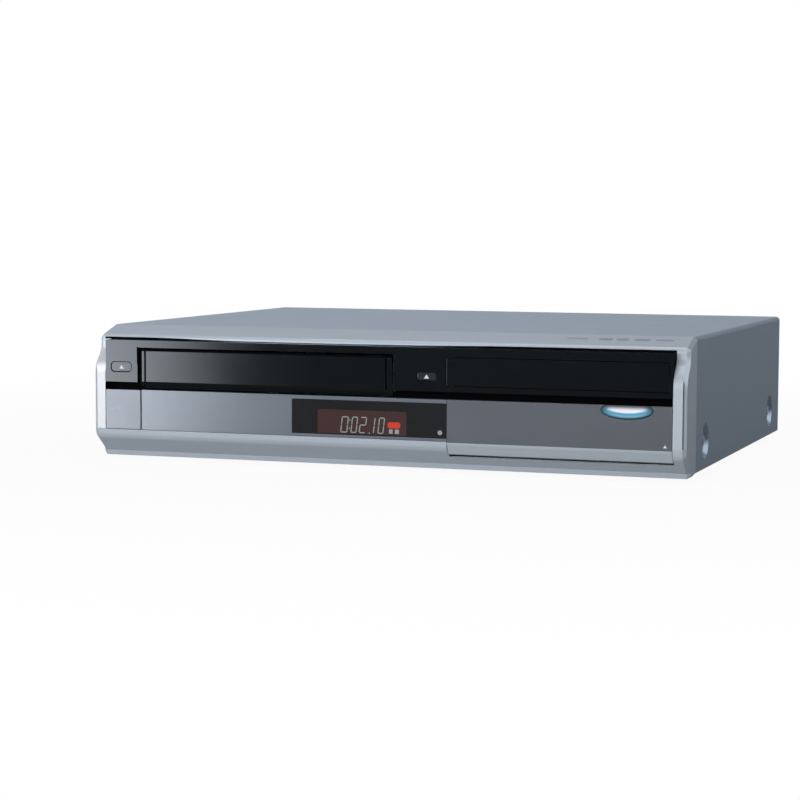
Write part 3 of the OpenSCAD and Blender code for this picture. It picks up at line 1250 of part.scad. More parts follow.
module fan_frame() at_front() color([0.08, 0.08, 0.09]) {
    s = fan_size / 2;
    y0 = rear_y0 - fan_d;
    difference() {
        block([fan_x - s, fan_x + s], [y0, rear_y0], [fan_z - s, fan_z + s]);
        rod_y(fan_x, y0 - cut, rear_y0 + cut, fan_z, s - 2);
    }
    for (a = [45 : 90 : 315]) translate([fan_x, 0, fan_z]) rotate([0, a, 0])
        block([0, s + 2], [rear_y0 - 2.5, rear_y0 - 0.5], [-1.5, 1.5]);
    rod_y(fan_x, rear_y0 - 2.5, rear_y0 - 0.5, fan_z, 12);
    rod_y(fan_x, y0 + 3, rear_y0 - 1, fan_z, shaft_r);
    block([fan_x - s, fan_x + s], [y0 + 2, rear_y0], [floor_z, fan_z - s + 0.2]);
}

module fan_rotor() at_front() color([0.12, 0.12, 0.13]) {
    y0 = rear_y0 - fan_d;
    tip = fan_size / 2 - 3;
    difference() {
        union() {
            rod_y(fan_x, y0 + 1, rear_y0 - 3, fan_z, 11);
            for (i = [0 : 6]) translate([fan_x, y0 + fan_d / 2 - 1, fan_z]) rotate([0, i * 360 / 7, 0])
                rotate([35, 0, 0]) block([9, tip], [-0.6, 0.6], [-5, 5]);
        }
        rod_y(fan_x, y0 + 2.5, rear_y0, fan_z, shaft_r + running);
    }
}

// ---------------------------------------------------------------- assembly

top_cover();
bottom_chassis();
rear_panel();
feet();
screws();
fascia_frame();
upper_bezel();
lower_panel();
display_window();
display_tube();
jack_door();
notch_light();
power_button();
tape_eject_button();
disc_eject_button();
top_button_1();
top_button_2();
top_button_3();
top_button_4();
top_button_5();
cassette_door();
tray_front();
control_boards();
front_jack_plate();
video_jacks();
left_jacks();
right_jacks();
jack_housings();
digital_sockets();
ac_inlet();
drive_frame();
drive_cover();
disc_tray();
tray_gear();
tray_motor();
traverse_base();
turntable();
clamper();
laser_sled();
sled_screw();
hard_drive();
drive_brackets();
deck_chassis();
deck_side_frames();
cassette_carriage();
cassette_holder();
supply_reel();
takeup_reel();
drum_base();
drum_rotor();
capstan();
pinch_arm();
tape_guides();
loading_motor();
loading_gear();
power_board();
main_board();
tuner_box();
fan_frame();
fan_rotor();
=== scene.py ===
"""Home video deck: a tape bay, a disc tray and a hard drive in one silver case.

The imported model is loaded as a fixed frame. The front is modelled over it piece by piece, and
every node gets its finish. Lengths are in metres, unless a name ends in _mm or a comment says
millimetres. x runs along the width, y from the front to the back and z upwards.
"""
import json
import math

import bmesh
import bpy
from mathutils import Matrix, Vector


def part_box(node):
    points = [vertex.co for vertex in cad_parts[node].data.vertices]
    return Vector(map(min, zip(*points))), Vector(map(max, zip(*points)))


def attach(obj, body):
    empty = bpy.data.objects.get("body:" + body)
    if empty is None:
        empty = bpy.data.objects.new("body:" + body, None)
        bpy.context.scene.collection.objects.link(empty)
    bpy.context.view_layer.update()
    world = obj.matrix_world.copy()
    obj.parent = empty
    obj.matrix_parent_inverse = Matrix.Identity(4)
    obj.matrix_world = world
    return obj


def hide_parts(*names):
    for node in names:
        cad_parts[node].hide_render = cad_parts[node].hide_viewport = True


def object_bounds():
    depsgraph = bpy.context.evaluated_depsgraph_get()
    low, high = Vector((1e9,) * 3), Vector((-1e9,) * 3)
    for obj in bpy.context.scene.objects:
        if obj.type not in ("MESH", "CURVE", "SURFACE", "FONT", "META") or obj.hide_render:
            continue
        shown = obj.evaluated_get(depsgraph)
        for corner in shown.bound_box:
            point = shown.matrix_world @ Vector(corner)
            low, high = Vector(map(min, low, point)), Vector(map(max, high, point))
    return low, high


bl_info = {
    "name": "Home video deck",
    "version": (1, 0, 0),
    "blender": (4, 5, 0),
    "location": "3D View > Sidebar > Video deck",
    "description": "Models the front of a home video deck and gives every piece its finish",
    "category": "Object",
}

MM = 0.001
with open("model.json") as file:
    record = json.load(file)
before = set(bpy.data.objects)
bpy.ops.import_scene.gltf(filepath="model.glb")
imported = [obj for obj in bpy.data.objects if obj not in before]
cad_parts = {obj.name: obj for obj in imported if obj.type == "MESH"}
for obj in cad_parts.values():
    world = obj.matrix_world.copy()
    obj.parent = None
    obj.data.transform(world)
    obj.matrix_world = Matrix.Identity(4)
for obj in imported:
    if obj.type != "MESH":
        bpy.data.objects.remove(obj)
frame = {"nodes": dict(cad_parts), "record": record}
CAD_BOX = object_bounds()
FRONT_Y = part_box("lower_panel")[0][1]     # plane of the front panels
REAR_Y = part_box("rear_panel")[1][1]       # outer face of the rear panel

SAME_POINT = 1e-6                         # points that lie closer are one
RELIEF_DEPTH = 0.0002                     # depth of a finish's fine relief at full strength
HANDLED_SCALE = 38.0                      # scale of the patches where the gloss differs
EDGE_ANGLE = 35                           # degrees: a sharper edge than this gets broken


def edges_of(node):
    """Lowest and highest corner of a node, as two vectors."""
    low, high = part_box(node)
    return Vector(low), Vector(high)


def middle_of(node):
    """The middle of a node's box."""
    low, high = edges_of(node)
    return (low + high) / 2


def body_of(node):
    """The body that a node rides on."""
    for body, nodes in frame["record"]["behaviour"]["bodies"].items():
        if node in nodes:
            return body
    raise ValueError(node + " is on no body")


# ------------------------------------------------------------------ modelling tools

def nothing_selected():
    """Leaves edit mode and deselects everything."""
    if bpy.context.object and bpy.context.object.mode != "OBJECT":
        bpy.ops.object.mode_set(mode="OBJECT")
    bpy.ops.object.select_all(action="DESELECT")


def only(piece):
    """Makes one object the only selected one and the active one."""
    nothing_selected()
    piece.select_set(True)
    bpy.context.view_layer.objects.active = piece


def named(piece, name):
    """Gives an object and its mesh the same name."""
    piece.name = piece.data.name = name
    return piece


def settle(piece):
    """Puts the object at the origin, unturned and unscaled, with its place in its mesh."""
    only(piece)
    bpy.ops.object.transform_apply(location=True, rotation=True, scale=True)
    return piece


def block(name, low, high):
    """A solid block between two corners."""
    low, high = Vector(low), Vector(high)
    nothing_selected()
    bpy.ops.mesh.primitive_cube_add(size=1, location=(low + high) / 2, scale=high - low)
    return settle(named(bpy.context.object, name))


def traced(name, points):
    """A chain of edges through the points, left in edit mode with everything selected."""
    nothing_selected()
    bpy.ops.mesh.primitive_plane_add(size=MM, location=points[0])
    piece = settle(named(bpy.context.object, name))
    bpy.ops.object.mode_set(mode="EDIT")
    bpy.ops.mesh.select_all(action="SELECT")
    bpy.ops.mesh.merge(type="CENTER")
    for a, b in zip(points, points[1:]):
        bpy.ops.mesh.extrude_vertices_move(TRANSFORM_OT_translate={"value": Vector(b) - Vector(a)})
    bpy.ops.mesh.select_all(action="SELECT")
    return piece


def closed(piece):
    """Turns the faces of a piece in edit mode outwards and leaves edit mode."""
    bpy.ops.mesh.select_all(action="SELECT")
    bpy.ops.mesh.normals_make_consistent(inside=False)
    bpy.ops.object.mode_set(mode="OBJECT")
    return piece


def drawn(name, points, sweep):
    """A closed outline drawn point by point, filled and extruded by the vector sweep."""
    piece = traced(name, points)
    bpy.ops.mesh.edge_face_add()
    bpy.ops.mesh.extrude_region_move(TRANSFORM_OT_translate={"value": Vector(sweep)})
    return closed(piece)


def cylinder(name, centre, radius, depth, axis, sides):
    """A solid rod: centre is its middle."""
    turn = {"X": (0, math.pi / 2, 0), "Y": (math.pi / 2, 0, 0)}[axis]
    nothing_selected()
    bpy.ops.mesh.primitive_cylinder_add(vertices=sides, radius=radius, depth=depth,
                                        location=centre, rotation=turn)
    return settle(named(bpy.context.object, name))


def turned(name, profile_mm, centre, way=1, steps=40):
    """A piece turned round y: profile_mm is a closed loop of (radius, distance along way)."""
    centre = Vector(centre)
    points = [centre + Vector((radius, way * along, 0)) * MM for radius, along in profile_mm]
    piece = traced(name, points + points[:1])
    bpy.ops.mesh.remove_doubles(threshold=SAME_POINT)
    bpy.ops.mesh.select_all(action="SELECT")
    bpy.ops.mesh.spin(steps=steps, angle=2 * math.pi, center=centre, axis=(0, way, 0))
    bpy.ops.mesh.select_all(action="SELECT")
    bpy.ops.mesh.remove_doubles(threshold=SAME_POINT)
    return closed(piece)


def modify(piece, kind, **settings):
    """Adds a modifier with these settings and applies it."""
    only(piece)
    step = piece.modifiers.new(kind.title(), kind)
    for key, value in settings.items():
        setattr(step, key, value)
    bpy.ops.object.modifier_apply(modifier=step.name)
    return piece


def combine(piece, others, operation):
    """Applies a boolean with each of the other solids and removes them."""
    for other in others:
        modify(piece, "BOOLEAN", operation=operation, solver="EXACT", object=other)
        bpy.data.objects.remove(other, do_unlink=True)
    return piece


def cut(piece, *cutters):
    """Cuts these solids out of the piece."""
    return combine(piece, cutters, "DIFFERENCE")


def weld(piece, *others):
    """Unites these solids with the piece."""
    return combine(piece, others, "UNION")


def gather(name, pieces):
    """Joins loose pieces into one object."""
    nothing_selected()
    for piece in pieces:
        piece.select_set(True)
    bpy.context.view_layer.objects.active = pieces[0]
    bpy.ops.object.join()
    return named(pieces[0], name)


def choose(piece, kind, wanted):
    """Enters edit mode with only the wanted edges or faces of the piece selected."""
    only(piece)
    bpy.ops.object.mode_set(mode="EDIT")
    bpy.ops.mesh.select_mode(type=kind)
    bpy.ops.mesh.select_all(action="DESELECT")
    mesh = bmesh.from_edit_mesh(piece.data)
    for item in mesh.edges if kind == "EDGE" else mesh.faces:
        if wanted(item):
            item.select_set(True)
    bmesh.update_edit_mesh(piece.data)


def leave_edit(piece):
    """Leaves edit mode with the usual kind of selection."""
    bpy.ops.mesh.select_mode(type="VERT")
    bpy.ops.object.mode_set(mode="OBJECT")
    return piece


def bevel_edges(piece, chosen, width_mm, segments):
    """Bevels the edges for which chosen(middle, direction) holds."""
    def wanted(edge):
        a, b = (vertex.co for vertex in edge.verts)
        return chosen((a + b) / 2, (b - a).normalized())

    choose(piece, "EDGE", wanted)
    bpy.ops.mesh.bevel(offset=width_mm * MM, offset_type="OFFSET", segments=segments,
                       affect="EDGES", clamp_overlap=True)
    return leave_edit(piece)


def round_along(piece, axis, width_mm, segments):
    """Rounds every edge that runs along this axis."""
    return bevel_edges(piece, lambda middle, direction: abs(direction["xyz".index(axis)]) > 0.99,
                       width_mm, segments)


def soften(piece, width_mm, segments=2, angle=EDGE_ANGLE):
    """Breaks every sharp edge with a small bevel and smooths the shading up to the hard edges."""
    if width_mm:
        modify(piece, "BEVEL", width=width_mm * MM, segments=segments, limit_method="ANGLE",
               angle_limit=math.radians(angle), use_clamp_overlap=True, harden_normals=False,
               miter_outer="MITER_ARC")
    smooth(piece, angle - 8)
    modify(piece, "WEIGHTED_NORMAL", keep_sharp=True, weight=60)
    return piece


def smooth(piece, angle):
    """Shades a piece smoothly across edges that turn by less than the angle, in degrees."""
    only(piece)
    bpy.ops.object.shade_smooth_by_angle(angle=math.radians(angle))


def merged_copy(node, name):
    """A copy of a node's own shape with its loose triangles merged and its flat faces cleaned."""
    source = frame["nodes"][node]
    piece = source.copy()
    piece.data = source.data.copy()
    named(piece, name)
    piece.data.materials.clear()
    bpy.context.collection.objects.link(piece)
    piece.parent = None
    piece.matrix_world = Matrix.Identity(4)
    only(piece)
    bpy.ops.object.mode_set(mode="EDIT")
    bpy.ops.mesh.select_all(action="SELECT")
    bpy.ops.mesh.customdata_custom_splitnormals_clear()
    bpy.ops.mesh.remove_doubles(threshold=2 * SAME_POINT)
    bpy.ops.mesh.select_all(action="SELECT")
    bpy.ops.mesh.dissolve_limited(angle_limit=math.radians(0.5))
    bpy.ops.object.mode_set(mode="OBJECT")
    return piece


# ------------------------------------------------------------------ finishes

GROUPS = {}
FINISHES = {}
BOARD_FACE = 7.3 * MM                     # from the main board's lowest point to its upper face
NO_PARTS = 1.0                            # a face height above the deck: a board without parts


def swatch(red, green, blue):
    """A colour written 0 to 255 as on a swatch, made linear."""
    return tuple((c / 255 / 12.92) if c / 255 <= 0.04045 else ((c / 255 + 0.055) / 1.055) ** 2.4
                 for c in (red, green, blue)) + (1.0,)


def shade(colour, factor):
    """The same colour, lighter or darker."""
    return tuple(min(1.0, c * factor) for c in colour[:3]) + (1.0,)


def feed(tree, node, inputs):
    """Gives each named or numbered input of a node a value, or a link from a socket."""
    for key, value in inputs.items():
        if isinstance(value, bpy.types.NodeSocket):
            tree.links.new(value, node.inputs[key])
        else:
            node.inputs[key].default_value = value
    return node


def added(tree, kind, inputs=None, **settings):
    """Adds a shader node with these settings and inputs, and returns its outputs."""
    node = tree.nodes.new("ShaderNode" + kind)
    for key, value in settings.items():
        setattr(node, key, value)
    return feed(tree, node, inputs or {}).outputs


def maths(tree, operation, *values, **settings):
    """One step of arithmetic on numbers or sockets."""
    return added(tree, "Math", dict(enumerate(values)), operation=operation, **settings)[0]


def blend(tree, mask, low, high, kind="RGBA"):
    """Mixes two colours (RGBA) or two numbers (FLOAT) by a mask."""
    first, result = {"FLOAT": (2, 0), "RGBA": (6, 2)}[kind]
    return added(tree, "Mix", {0: mask, first: low, first + 1: high}, data_type=kind)[result]


def ramp_between(tree, source, start_end, levels, **settings):
    """A value that changes between two levels while the source passes a range."""
    names = ("From Min", "From Max", "To Min", "To Max")
    values = dict(zip(names, tuple(start_end) + tuple(levels)), Value=source)
    return added(tree, "MapRange", values, **settings)[0]


def ramp_of(tree, source, stops, interpolation="LINEAR"):
    """A colour ramp fed by source: stops are (place, colour)."""
    ramp = tree.nodes.new("ShaderNodeValToRGB")
    ramp.color_ramp.interpolation = interpolation
    elements = ramp.color_ramp.elements
    elements[0].position, elements[0].color = stops[0]
    elements[1].position, elements[1].color = stops[-1]
    for place, colour in stops[1:-1]:
        elements.new(place).color = colour
    return feed(tree, ramp, {0: source}).outputs[0]


def object_axes(tree):
    """The object coordinates of a material, whole and split into X, Y and Z."""
    place = added(tree, "TexCoord")["Object"]
    return place, added(tree, "SeparateXYZ", {0: place})


def surface_of(material):
    """A material's node tree and its surface shader."""
    return material.node_tree, material.node_tree.nodes["Principled BSDF"]


def node_group(name, inputs, output, kind):
    """An empty shader group with these inputs and one output; returns what it takes and gives."""
    group = GROUPS[name] = bpy.data.node_groups.new(name, "ShaderNodeTree")
    for label, socket_kind, value in inputs:
        socket = group.interface.new_socket(name=label, in_out="INPUT", socket_type=socket_kind)
        socket.default_value = value
    group.interface.new_socket(name=output, in_out="OUTPUT", socket_type=kind)
    given = group.nodes.new("NodeGroupInput").outputs
    return group, given, group.nodes.new("NodeGroupOutput")


def make_groups():
    """Makes the three effects that the finishes share."""
    number, colour, vector = "NodeSocketFloat", "NodeSocketColor", "NodeSocketVector"
    # Even speckle at a chosen scale, stretched along any axis: a mask from 0 to 1
    group, given, out = node_group("Grain", (
        ("Scale", number, 400.0), ("Stretch", vector, (1.0, 1.0, 1.0)),
        ("Contrast", number, 1.0)), "Mask", number)
    spread = added(group, "VectorMath", {0: added(group, "TexCoord")["Object"],
                                         1: given["Stretch"]}, operation="MULTIPLY")
    noise = added(group, "TexNoise", {"Vector": spread[0], "Scale": given["Scale"], "Detail": 3.0})
    centred = maths(group, "SUBTRACT", noise["Fac"], 0.5)
    feed(group, out, {0: maths(group, "MULTIPLY_ADD", centred, given["Contrast"], 0.5,
                               use_clamp=True)})
    # A value between two ends, and a shade between two close ones, each by a mask
    group, given, out = node_group("Between", (
        ("Mask", number, 0.5), ("Low", number, 0.3), ("High", number, 0.4)), "Value", number)
    feed(group, out, {0: blend(group, given["Mask"], given["Low"], given["High"], "FLOAT")})
    group, given, out = node_group("Shades", (
        ("Mask", number, 0.5), ("Dark", colour, (0.4, 0.4, 0.4, 1)),
        ("Light", colour, (0.6, 0.6, 0.6, 1))), "Colour", colour)
    feed(group, out, {0: blend(group, given["Mask"], given["Dark"], given["Light"])})


def placed(tree, name, **values):
    """Places one of the shared groups in a material and returns its result."""
    node = tree.nodes.new("ShaderNodeGroup")
    node.node_tree = GROUPS[name]
    return feed(tree, node, values).outputs[0]


def finish(name, colour, roughness=0.4, metallic=0.0, tone=0.05, grain=900.0, stretch=(1, 1, 1),
           rough_spread=0.06, relief=0.05, relief_scale=1800.0, coat=0.0, specular=0.5):
    """A procedural material: close shades of one colour, uneven gloss and a fine relief."""
    material = FINISHES[name] = bpy.data.materials.new(name)
    material.use_nodes = True
    tree, body = surface_of(material)
    speckle = placed(tree, "Grain", Scale=grain, Stretch=stretch, Contrast=1.6)
    handled = placed(tree, "Grain", Scale=HANDLED_SCALE, Contrast=1.2)
    feed(tree, body, {
        "Base Color": placed(tree, "Shades", Mask=speckle, Dark=shade(colour, 1 - tone),
                             Light=shade(colour, 1 + tone)),
        "Roughness": placed(tree, "Between", Mask=handled,
                            Low=max(0.02, roughness - rough_spread),
                            High=min(1.0, roughness + rough_spread)),
        "Metallic": metallic, "Specular IOR Level": specular, "Coat Weight": coat,
        "Coat Roughness": 0.1})
    if relief:
        fine = placed(tree, "Grain", Scale=relief_scale, Stretch=stretch, Contrast=1.0)
        bump = added(tree, "Bump", {"Strength": relief, "Distance": RELIEF_DEPTH, "Height": fine})
        feed(tree, body, {"Normal": bump[0]})
    return material


def glow(name, colour, strength, base=(0.02, 0.02, 0.02, 1)):
    """A lit mark: a dark plastic that gives off its own colour, a little unevenly."""
    tree, body = surface_of(finish(name, base, 0.1, relief=0, rough_spread=0.03, specular=0.4))
    speckle = placed(tree, "Grain", Scale=260.0, Contrast=0.8)
    feed(tree, body, {"Emission Strength": strength, "Emission Color": placed(
        tree, "Shades", Mask=speckle, Dark=shade(colour, 0.86), Light=colour)})


def board_finish(name, mask_colour, top_z, pad_colour=(0.55, 0.53, 0.47, 1)):
    """Circuit board: mask with traces and pads up to top_z, parts of several shades above it."""
    tree, body = surface_of(finish(name, mask_colour, 0.42, relief=0))
    place, axes = object_axes(tree)
    traces = added(tree, "TexBrick", {
        "Vector": place, "Color1": mask_colour, "Color2": shade(mask_colour, 0.75),
        "Mortar": shade(mask_colour, 1.9), "Scale": 60.0, "Mortar Size": 0.03})
    pads = added(tree, "TexVoronoi", {"Vector": place, "Scale": 320.0})
    pad_mask = maths(tree, "LESS_THAN", pads["Distance"], 0.16)
    copper = blend(tree, pad_mask, traces["Color"], pad_colour)
    cells = added(tree, "TexVoronoi", {"Vector": place, "Scale": 34.0})
    parts = ramp_of(tree, cells["Color"], (
        (0.0, (0.015, 0.015, 0.017, 1)), (0.45, (0.03, 0.032, 0.036, 1)),
        (0.62, (0.02, 0.05, 0.10, 1)), (0.80, (0.10, 0.10, 0.11, 1))), "CONSTANT")
    above = maths(tree, "GREATER_THAN", axes["Z"], top_z + 0.3 * MM)
    feed(tree, body, {"Base Color": blend(tree, above, copper, parts)})


def oval_distance(tree, axes, centre, half):
    """Distance from the middle of an upright oval, 1 on its rim."""
    squares = []
    for axis, middle, reach in zip("XZ", centre, half):
        shift = maths(tree, "MULTIPLY_ADD", axes[axis], 1 / reach, -middle / reach)
        squares.append(maths(tree, "MULTIPLY", shift, shift))
    return maths(tree, "SQRT", maths(tree, "ADD", *squares))


def lens_finish(name, middle_x, top_z):
    """Milky lens: white in the middle, a blue band that darkens to the rim, painted shadow round
    the rim and painted shade along the top.
    """
    tree, body = surface_of(finish(name, (0.8, 0.85, 0.9, 1), 0.18, relief=0, coat=0.3))
    axes = object_axes(tree)[1]
    white = oval_distance(tree, axes, (middle_x, top_z - 1.1 * MM), (30 * MM, 8.6 * MM))
    band = ramp_of(tree, white, ((0.0, swatch(238, 238, 246)), (0.40, swatch(230, 232, 246)),
                                 (0.46, swatch(162, 194, 222)), (0.51, swatch(92, 154, 184)),
                                 (0.60, swatch(86, 148, 178)), (0.68, swatch(112, 174, 200)),
                                 (1.0, swatch(76, 120, 138))))
    # Painted shadow: a dark rim round the oval, where the door's cut edge shades the lens.
    rim = oval_distance(tree, axes, (middle_x, top_z - OVAL_SINK * MM),
                        [2 * half * MM for half in OVAL_HALF])
    edge = ramp_of(tree, rim, ((0.0, (0, 0, 0, 1)), (0.37, (0, 0, 0, 1)), (0.49, (1, 1, 1, 1))))
    band_with_painted_rim_shadow = blend(tree, edge, band, swatch(42, 76, 92))
    # Painted shade: the lens darkens towards its top edge, as under the black panel's overhang.
    depth = ramp_between(tree, axes["Z"], (top_z - 3.6 * MM, top_z - 0.3 * MM), (0.0, 0.97),
                         interpolation_type="SMOOTHSTEP")
    lens_with_painted_top_shade = blend(tree, depth, band_with_painted_rim_shadow, swatch(70, 78, 78))
    feed(tree, body, {"Base Color": lens_with_painted_top_shade, "Emission Color": lens_with_painted_top_shade, "Emission Strength": 0.12})


def make_finishes(colours):
    """Every finish of the deck, by its own name."""
    make_groups()
    # The case and the front
    finish("silver moulding", colours.moulding, 0.34, 0.15, 0.035, 1500)
    # Painted highlight: a brighter, plainer silver for the left pillar only.
    finish("painted lit silver", swatch(197, 198, 202), 0.34, 0.15, 0.035, 1500)
    # Painted shade: a darker silver for the groove in the right pillar.
    finish("painted seam shade", swatch(112, 124, 133), 0.5, 0.1, 0.035, 1500, specular=0.2)
    finish("faint print", swatch(168, 174, 184), 0.5, 0.2)
    finish("silver panel", colours.panel, 0.18, 0.1, 0.03, 1500, (0.25, 1, 1), specular=0.8,
           rough_spread=0.03)
    finish("silver key", colours.key_face, 0.22, 0.1, 0.03, 1500)
    finish("cover paint", colours.cover, 0.38, 0.1, 0.05, 2200, relief=0.12, relief_scale=1400,
           rough_spread=0.02, specular=0.12)
    finish("pressed paint", colours.cover, 0.22, 0.35, 0.04, 2200, specular=0.9, rough_spread=0.02)
    finish("gloss black", colours.black, 0.12, 0.0, 0.1, 600, relief=0.01, rough_spread=0.02)
    # Painted shadow: a matt near-black for gaps, grooves, steps and the sides of recesses.
    finish("painted groove shadow", swatch(4, 4, 5), 0.6, 0.0, 0.1, 600, specular=0.02)
    finish("smoked window", colours.window, 0.1, 0.0, 0.06, 300, relief=0, rough_spread=0.03)
    finish("door lacquer", colours.door, 0.24, 0.1, 0.05, 1500)
    finish("key lacquer", colours.small_key, 0.14, 0.0, 0.05, 1500, relief=0.01, rough_spread=0.02)
    finish("top key lacquer", colours.top_key, 0.42, 0.4, 0.05, 1500)
    finish("pale print", (0.62, 0.65, 0.68, 1), 0.5)
    finish("soft print", (0.72, 0.75, 0.8, 1), 0.5, 0.3)
    finish("foot rubber", (0.045, 0.045, 0.048, 1), 0.8, tone=0.15, relief=0.4, relief_scale=1200)
    # The display and the lit marks
    glow("display field", swatch(72, 50, 48), 0.5, (0.03, 0.02, 0.02, 1))
    glow("display digit", swatch(168, 176, 172), 0.7)
    glow("display dim", swatch(176, 178, 190), 0.7)
    # Painted highlight: the remote sensor gives no light of its own but glows pale here.
    glow("painted remote eye glint", swatch(176, 180, 182), 0.7)
    glow("display red", swatch(214, 60, 40), 0.9)
    finish("tube glass", (0.08, 0.1, 0.1, 1), 0.08, 0.0, 0.1, 300, coat=0.6)
    lens_finish("lit lens", middle_of("notch_light").x, edges_of("notch_light")[1].z)
    # The sheet metal, the drives and the sockets
    finish("zinc sheet", (0.60, 0.61, 0.61, 1), 0.34, 0.9, 0.08, 120, (1, 0.2, 1), 0.1)
    finish("plated screw", (0.62, 0.62, 0.63, 1), 0.28, 0.95, 0.06)
    finish("cast metal", (0.50, 0.51, 0.53, 1), 0.42, 0.85, 0.08, 500, relief=0.3, relief_scale=900)
    finish("turned metal", (0.66, 0.67, 0.69, 1), 0.2, 0.95, 0.05, 260, (0.1, 0.1, 1.0))
    finish("lead screw", (0.68, 0.55, 0.28, 1), 0.25, 0.95, 0.08, 900, (0.1, 1.0, 0.1))
    finish("black moulding", (0.028, 0.028, 0.031, 1), tone=0.15, roughness=0.5, relief=0.3,
           relief_scale=1600)
    finish("tray black", (0.032, 0.033, 0.036, 1), 0.42, tone=0.12, grain=1200, relief=0.2)
    finish("yellow insert", (0.78, 0.58, 0.04, 1), 0.32, tone=0.06, grain=700)
    finish("white insert", (0.80, 0.80, 0.78, 1), 0.32, tone=0.04, grain=700)
    finish("red insert", (0.58, 0.04, 0.035, 1), 0.32, tone=0.06, grain=700)
    finish("acetal", (0.78, 0.77, 0.71, 1), 0.42, tone=0.04, grain=700)
    finish("roller rubber", (0.04, 0.04, 0.042, 1), 0.7, tone=0.15)
    # The boards
    main_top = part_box("main_board")[0][2] + BOARD_FACE
    board_finish("green board", (0.02, 0.115, 0.04, 1), main_top)
    board_finish("brown board", (0.24, 0.15, 0.06, 1), main_top)
    board_finish("front board", (0.012, 0.016, 0.014, 1), NO_PARTS, (0.03, 0.032, 0.03, 1))


# The nodes that each finish goes on
NODE_FINISHES = {
    "plated screw": "screws",
    "zinc sheet": "bottom_chassis rear_panel deck_chassis deck_side_frames cassette_carriage "
                  "cassette_holder drive_cover drive_brackets tuner_box",
    "turned metal": "tray_motor loading_motor tape_guides drum_rotor capstan",
    "cast metal": "drum_base hard_drive traverse_base laser_sled",
    "lead screw": "sled_screw",
    "roller rubber": "pinch_arm",
    "acetal": "tray_gear loading_gear clamper supply_reel takeup_reel",
    "black moulding": "front_jack_plate jack_housings digital_sockets ac_inlet drive_frame "
                      "fan_frame fan_rotor turntable",
    "tray black": "disc_tray",
    "front board": "control_boards",
    "green board": "main_board",
    "brown board": "power_board",
    "yellow insert": "video_jacks",
    "white insert": "left_jacks",
    "red insert": "right_jacks",
    "foot rubber": "feet",
    "cover paint": "top_cover",
    "silver moulding": "fascia_frame",
    "silver key": "power_button",
    "silver panel": "lower_panel",
    "gloss black": "upper_bezel cassette_door tray_front",
    "door lacquer": "jack_door",
    "key lacquer": "tape_eject_button disc_eject_button",
    "top key lacquer": "top_button_1 top_button_2 top_button_3 top_button_4 top_button_5",
    "smoked window": "display_window",
    "tube glass": "display_tube",
    "lit lens": "notch_light",
}


def paint_nodes():
    """Puts a finish in the material slots of every node."""
    finish_of = {node: name for name, nodes in NODE_FINISHES.items() for node in nodes.split()}
    for name, node in frame["nodes"].items():
        material = FINISHES[finish_of[name]]
        if not node.material_slots:
            node.data.materials.append(material)
        for slot in node.material_slots:
            slot.material = material


def finish_piece(piece, body, finish_name, node=None):
    """Gives a piece its finish and its body, and hides the node that it stands for."""
    piece.data.materials.clear()
    piece.data.materials.append(FINISHES[finish_name])
    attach(piece, body)
    if node:
        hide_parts(node)
    return piece


def face_finish(piece, finish_name, chosen):
    """A second finish on the faces for which chosen(centre, normal) holds."""
    piece.data.materials.append(FINISHES[finish_name])
    for face in piece.data.polygons:
        if chosen(face.center, face.normal):
            face.material_index = len(piece.data.materials) - 1


def dressed(node, name, finish_name, width_mm=0.2, segments=2, angle=EDGE_ANGLE):
    """A node's own shape with broken edges and smooth rounds, which then stands for the node."""
    piece = soften(merged_copy(node, name), width_mm, segments, angle)
    return finish_piece(piece, body_of(node), finish_name, node)


# ------------------------------------------------------------------ front of the deck

# Every length here is in millimetres. A side outline's points are (y behind the front plane, z),
# and those of an outline seen from the front are (x, z).
AHEAD = -1                                # where a cutter starts, in front of the front plane
OPENING_HALF = 206                        # half width of the front opening
OPENING_FLOOR = 23.2                      # its bottom edge, on the chin
ROOM_TOP = 87.15                          # top of the room behind the brow's lip
DOOR_GAP_X = (50.2, OPENING_HALF)
PILLAR_LOW, PILLAR_HIGH = 23.6, 69.6      # the upright part of the pillars' front
MOULDING = ((38, 98.27), (38, 3), (15.7, 3), (14.5, 6.6), (0.95, 17.6), (0, PILLAR_LOW),
            (0, PILLAR_HIGH), (10, 81), (10, 90))
# The same outline's back edge where the room inside it is cut, so that the room has no back wall
ROOM_BACK = ((44, 100.04), (44, 3))
# Rounded corners of the moulding: y, z, how far the round reaches, steps
MOULDING_ROUNDS = ((0.95, 17.6, 2.6, 8), (0, PILLAR_HIGH, 6.02, 12), (10, 81, 3.76, 8),
                   (10, 90, 2.24, 6))
CORNER_REACH = 0.4                        # how near an edge lies to the corner it belongs to
MOULDING_ANGLE = 28                       # degrees: a sharper edge than this gets broken
GROOVE_WIDTH, GROOVE_Y = 0.9, 1.3         # the fine groove in each pillar: width and depth
# Outline of the front opening: its top edge bows down a little in the middle
OPENING = ((-OPENING_HALF, OPENING_FLOOR), (OPENING_HALF, OPENING_FLOOR), (OPENING_HALF, 88.5),
           (120, 88.5), (80, 88.3), (55, 87.95), (30, 87.6), (-20, 87.35), (-65, 87.3),
           (-107, 87.4), (-130, 87.8), (-151, 88.3), (-176, 88.6), (-211, 88.6), (-211, 87.1),
           (-OPENING_HALF, 87.1))
LIP_Y = 11.2                              # depth of the thin lip that hangs behind the brow
BROW_ANGLE = math.radians(16.46)
BROW_MIDDLE = (24, 94.14)                 # middle of the brow's slope, where its keys lie
KEY_GAP = 0.25                            # between a key and its keyhole, all round
